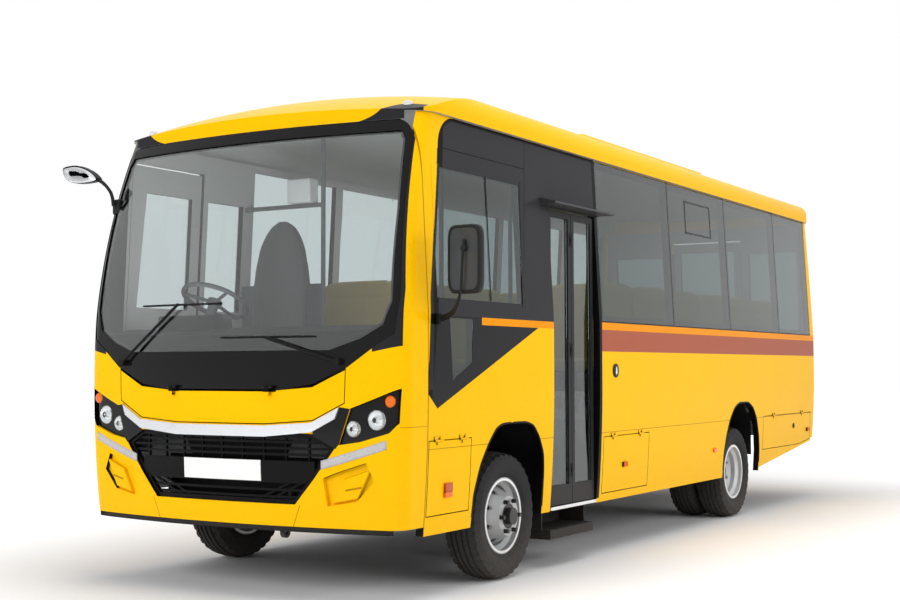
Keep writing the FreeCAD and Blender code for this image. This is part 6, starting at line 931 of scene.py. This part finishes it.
lamp_glass = glass("lamp_glass", (0.96, 0.97, 0.97))
amber_glass = moulded("amber_lens", srgb(235, 110, 15), 0.12, 0.0006, 90.0, 0.05, 0.0, coat=0.3)
amber_dark = moulded("amber_lens_dark", srgb(190, 78, 12), 0.15, 0.0006, 90.0, 0.05, 0.0, coat=0.3)
red_glass = moulded("red_lens", srgb(168, 18, 14), 0.14, 0.0006, 90.0, 0.05, 0.0, coat=0.3)
bowl_metal = moulded("lamp_bowl", srgb(224, 226, 228), 0.16, 0.0, 40.0, 0.05, 0.0, metal=0.8)
LAMP_SET, LAMP_FIT, AMBER_SIZE = 0.020, 0.0005, 0.034
POD_LAMPS = ((0.879, 0.975, 0.046), (1.016, 1.025, 0.058), (1.095, 1.128, AMBER_SIZE))
bowls, domes, ambers = [], [], []
for lamp_x, lamp_z, size in POD_LAMPS:
    for side in (1, -1):
        place = (side * lamp_x, float(skin_of_nose(lamp_x, lamp_z, -LAMP_SET)), lamp_z)
        s = size - LAMP_FIT
        dome = [(0.0001, -0.012), (s * 0.5, -0.0105), (s * 0.85, -0.006), (s, 0.0), (s, 0.001),
                (s - 0.002, 0.001), (s - 0.003, 0.0), (s * 0.82, -0.003), (s * 0.5, -0.0075),
                (0.0001, -0.009)]
        if size == AMBER_SIZE:
            ambers.append(lathe(dome[:5] + [(s, 0.010), (0.0001, 0.010)], place))
            continue
        domes.append(lathe(dome, place))
        bowls.append(lathe([(s, 0.0015), (s * 0.94, 0.0015), (s * 0.90, 0.004), (s * 0.80, 0.0065),
                            (s * 0.55, 0.0095), (s * 0.34, 0.0105), (s * 0.32, 0.005), (s * 0.20, 0.003),
                            (0.0001, 0.0025), (0.0001, 0.0115), (s, 0.0115)], place))


def soft_tile(place, size, power=0.25):
    """A small moulded block with rounded edges at a place."""
    points, faces = rounded_form(size, power, 12, 28)
    return points + place, faces


def on_flank(side, back, z, size):
    """Such a block on the flank, seated on the skin."""
    return soft_tile((side * (float(flank_x(z)) + size[0] / 2), AXLE_Y + back, z), size)


MARKERS, MARKER_SIZE = ((1, 3.567, 0.617), (-1, 1.708, 0.612), (-1, 3.567, 0.617)), (0.0155, 0.069, 0.033)
ambers += [on_flank(*marker, MARKER_SIZE) for marker in MARKERS]
TAIL_BACK, TAIL_LAMP_X, TAIL_LAMP_WIDE, TAIL_LAMP_TALL = 6.640, 0.9575, 0.105, 0.095
TAIL_LAMP_OFF, TAIL_LAMP_PROUD = 0.0005, 0.0195


def tail_pair(foot):
    """A lens on each side, its foot at a height, that follows the tail's bow of 5 m radius."""
    points, faces = rounded_form((TAIL_LAMP_WIDE, 1.0, TAIL_LAMP_TALL), 0.18, 16, 40)
    pair = []
    for side in (1, -1):
        x = side * TAIL_LAMP_X + points[:, 0]
        tail = AXLE_Y + TAIL_BACK - BOW_RADIUS + np.sqrt(BOW_RADIUS ** 2 - x ** 2)
        y = tail + TAIL_LAMP_OFF + (points[:, 1] + 0.5) * TAIL_LAMP_PROUD
        pair.append((np.column_stack([x, y, foot + TAIL_LAMP_TALL / 2 + points[:, 2]]), faces))
    return pair


for name, parts, finish in (("lamp_domes", domes, lamp_glass), ("lamp_bowls", bowls, bowl_metal),
                            ("amber_lamps", ambers, amber_glass),
                            ("tail_lamps_white", tail_pair(0.880), bowl_metal),
                            ("tail_lamps_red", tail_pair(0.985), red_glass),
                            ("tail_lamps_amber", tail_pair(1.090), amber_glass)):
    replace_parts(piece_from(name, parts, finish), "lamp_lenses")
for name, z, tall, finish in (("upper", 0.630, 0.052, amber_dark), ("lower", 0.588, 0.030, amber_glass)):
    lamp = on_flank(1, FLAP_LAMPS[0][0], z, (0.018, 0.080, tall))
    piece_from("flap_lamp_" + name, [lamp], finish, "flap_front")
BROW_LAMP, BROW_LAMP_SIZE = (0.985, AXLE_Y - 0.900, 2.838), (0.058, 0.058, 0.044)
brow_lamps = [soft_tile((side * BROW_LAMP[0], *BROW_LAMP[1:]), BROW_LAMP_SIZE, 0.8) for side in (1, -1)]
piece_from("brow_lamps", brow_lamps, bowl_metal)


# Mirrors
# Entrance side: an upright head with a raised rim, hung by a ball from a bent arm on a bolted foot. Far
# side: a wide leaf-shaped head out on a curved arm, clamped to the pillar.
def bar_along(line, radii, steps=36, count=16):
    """A round bar through places: rings square to the smoothed path, their radius passing from one place to
    the next."""
    line = np.array(line, float)
    t, knots = np.linspace(0, 1, steps), np.linspace(0, 1, len(line))
    path = np.column_stack([np.interp(t, knots, line[:, k]) for k in range(3)])
    for _ in range(4):
        path[1:-1] = (path[:-2] + 2 * path[1:-1] + path[2:]) / 4
    ahead = np.gradient(path, axis=0)
    ahead /= np.linalg.norm(ahead, axis=1, keepdims=True)
    beside = np.cross(ahead, (0.0, 1.0, 0.001))
    beside /= np.linalg.norm(beside, axis=1, keepdims=True)
    above = np.cross(beside, ahead)
    angle = np.linspace(0, 2 * math.pi, count, endpoint=False)[None, :, None]
    reach = np.interp(t, knots, radii)[:, None, None]
    return lofted(path[:, None] + reach * (beside[:, None] * np.cos(angle) + above[:, None] * np.sin(angle)))


def plate_loft(outline, centre, layers):
    """An outline in (across, up) drawn at several places along Y, each at its own size about the centre."""
    outline = np.array(outline, float)
    rings = []
    for y, scale_x, scale_z in layers:
        x = centre[0] + (outline[:, 0] - centre[0]) * scale_x
        z = centre[1] + (outline[:, 1] - centre[1]) * scale_z
        rings.append(np.column_stack([x, np.full(len(x), y), z]))
    return lofted(rings)


mirror_black = moulded("mirror_black", srgb(36, 37, 37), 0.40, 0.0004, 60.0, grime=0.1, shine=0.1)
mirror_field = moulded("mirror_field", srgb(74, 76, 77), 0.45, 0.0004, 60.0, grime=0.0, shine=0.1)
NEAR_HEAD = (1.4175, 1.915)
near_outline = super_ring(0.1075, 0.1925, 0.32, 64) + NEAR_HEAD
near_head = plate_loft(near_outline, NEAR_HEAD, (
    (-3.590, 0.91, 0.95), (-3.592, 0.96, 0.98), (-3.600, 1.0, 1.0), (-3.634, 0.99, 0.995),
    (-3.645, 0.95, 0.97), (-3.650, 0.90, 0.94), (-3.649, 0.85, 0.91), (-3.642, 0.81, 0.89)))
near_arm = bar_along(
    ((1.425, -3.662, 1.974), (1.423, -3.668, 1.90), (1.418, -3.668, 1.80), (1.411, -3.662, 1.741),
     (1.379, -3.640, 1.670), (1.327, -3.600, 1.621), (1.260, -3.560, 1.600), (1.212, -3.545, 1.592)),
    (0.008, 0.0075, 0.0075, 0.008, 0.011, 0.015, 0.017, 0.018))
ball = soft_tile((1.425, -3.656, 1.974), (0.040, 0.036, 0.040), 1.0)
stub = soft_tile((1.427, -3.654, 2.004), (0.018, 0.018, 0.034), 0.5)
foot = soft_tile((1.2045, -3.540, 1.590), (0.034, 0.062, 0.062), 0.3)
bolts = [soft_tile((1.2230, y, z), (0.006, 0.012, 0.012), 0.7) for y, z in ((-3.556, 1.574), (-3.524, 1.574))]
FAR_HEAD = (-1.365, 2.568)
far_outline = np.array([(-1.520, 2.618), (-1.495, 2.630), (-1.385, 2.634), (-1.270, 2.590), (-1.204, 2.535),
                        (-1.208, 2.516), (-1.290, 2.508), (-1.383, 2.510), (-1.455, 2.526), (-1.500, 2.560)])
for _ in range(2):
    following = np.roll(far_outline, -1, axis=0)
    far_outline = np.stack([0.75 * far_outline + 0.25 * following,
                            0.25 * far_outline + 0.75 * following], 1).reshape(-1, 2)
far_head = plate_loft(far_outline, FAR_HEAD, ((-3.768, 0.88, 0.80), (-3.772, 0.96, 0.92), (-3.785, 1.0, 1.0),
                                              (-3.822, 1.0, 1.0), (-3.828, 0.98, 0.96)))
far_arm = bar_along(((-1.235, -3.795, 2.530), (-1.190, -3.795, 2.510), (-1.150, -3.797, 2.481),
                     (-1.112, -3.797, 2.44), (-1.096, -3.795, 2.400), (-1.094, -3.790, 2.350)),
                    (0.012, 0.012, 0.011, 0.011, 0.011, 0.011))
clamp = soft_tile((-1.092, float(skin_of_nose(1.092, 2.345, -0.012)), 2.345), (0.058, 0.050, 0.100), 0.3)
black_parts = [near_head, near_arm, ball, stub, foot, *bolts, far_head, far_arm, clamp]
field = plate_loft(near_outline, NEAR_HEAD, ((-3.640, 0.82, 0.895), (-3.6435, 0.82, 0.895)))
near_glass = plate_loft(near_outline, NEAR_HEAD, ((-3.592, 0.90, 0.94), (-3.5885, 0.89, 0.935)))
far_glass = plate_loft(far_outline - (0.0, 0.004), FAR_HEAD, ((-3.826, 0.95, 0.88), (-3.8305, 0.93, 0.85),
                                                              (-3.8325, 0.60, 0.50)))
for name, parts, finish, slot in (("mirror_bodies", black_parts, mirror_black, "black_plastic"),
                                  ("mirror_field", [field], mirror_field, "black_plastic"),
                                  ("mirror_glass", [near_glass, far_glass], bowl_metal, "lens")):
    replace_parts(piece_from(name, parts, finish), "mirrors")


# Flank trim
# Black frame bars round the cab window with the pillar's corner over its pane, a hopper frame in the second
# pane, and two round locks.
def flank_panel(low_fore, low_aft, high_aft, high_fore, proud=0.0005, thick=0.0015):
    """A thin closed sheet laid on the entrance flank between four (back, up) corners."""
    flat = bilinear(low_fore, low_aft, high_fore, high_aft, 17, 5)
    return closed_layers([np.stack([flank_x(flat[..., 1]) + out, AXLE_Y + flat[..., 0], flat[..., 1]], -1)
                          for out in (proud, proud + thick)])


frame_bars = [
    flank_panel((-1.003, 1.190), (-0.955, 1.190), (-0.944, 1.720), (-0.972, 1.720)),
    flank_panel((-0.972, 1.720), (-0.944, 1.720), (-0.810, 2.490), (-0.838, 2.490)),
    flank_panel((0.124, 1.690), (0.160, 1.690), (0.197, 2.500), (0.163, 2.500)),
    flank_panel((-0.286, 1.716), (-0.274, 1.716), (-0.270, 2.480), (-0.282, 2.480)),
]
HOPPER_FORE, HOPPER_AFT, HOPPER_LOW, HOPPER_TOP, HOPPER_BAR = 3.020, 3.600, 2.400, 2.670, 0.014
inner_low, inner_top = HOPPER_LOW + HOPPER_BAR, HOPPER_TOP - HOPPER_BAR
for y0, y1, z0, z1 in ((HOPPER_FORE, HOPPER_AFT, HOPPER_LOW, inner_low),
                       (HOPPER_FORE, HOPPER_AFT, inner_top, HOPPER_TOP),
                       (HOPPER_FORE, HOPPER_FORE + HOPPER_BAR, inner_low, inner_top),
                       (HOPPER_AFT - HOPPER_BAR, HOPPER_AFT, inner_low, inner_top)):
    frame_bars.append(flank_panel((y0, z0), (y1, z0), (y1, z1), (y0, z1)))
piece_from("flank_frames", frame_bars, black_gloss, smooth=False)
corner = flank_panel((-0.906, 2.100), (-0.902, 2.110), (-0.836, 2.484), (-0.906, 2.484))
piece_from("pillar_corner", [corner], trim_yellow, smooth=False)
DOOR_LOCK, FLAP_LOCK = (1.528, 1.290, 0.100), (5.739, 0.743, 0.050)
locks = [soft_tile((float(flank_x(z)) + 0.004, AXLE_Y + back, z), (0.012, wide, wide), 0.9)
         for back, z, wide in (DOOR_LOCK, FLAP_LOCK)]
piece_from("flank_locks", locks, mirror_black)
back, z, _ = DOOR_LOCK
barrel = soft_tile((float(flank_x(z)) + 0.008, AXLE_Y + back, z), (0.008, 0.030, 0.060), 0.9)
piece_from("lock_barrel", [barrel], bowl_metal)


# Edges and sills
# A black rubber lip round each wheel arch, and a bright tread strip at the door's foot.
FRONT_ARCH = ((-0.475, 0.43), (-0.465, 0.56), (-0.40, 0.73), (-0.305, 0.86), (-0.215, 0.945), (-0.13, 0.971),
              (0.17, 0.971), (0.27, 0.945), (0.35, 0.87), (0.417, 0.76), (0.43, 0.64), (0.43, 0.42))
REAR_ARCH = ((-0.400, 0.43), (-0.395, 0.56), (-0.35, 0.72), (-0.27, 0.86), (-0.16, 0.96), (-0.04, 1.002),
             (0.20, 1.002), (0.33, 0.95), (0.43, 0.85), (0.50, 0.70), (0.535, 0.56), (0.54, 0.45))
lips = []
for arch, centre in ((FRONT_ARCH, AXLE_Y), (REAR_ARCH, REAR_AXLE_Y)):
    for side in (1, -1):
        line = [(side * (float(flank_x(z)) - 0.002), centre + y, z) for y, z in arch]
        lips.append(bar_along(line, [0.0075] * len(line), 90, 8))
piece_from("arch_lips", lips, black_plastic)
SILL_Y, SILL_Z, SILL_SIZE = AXLE_Y + 0.910, 0.385, (0.010, 0.700, 0.022)
sill = soft_tile((float(flank_x(SILL_Z)) + 0.001, SILL_Y, SILL_Z), SILL_SIZE, 0.15)
piece_from("door_tread_strip", [sill], bowl_metal)
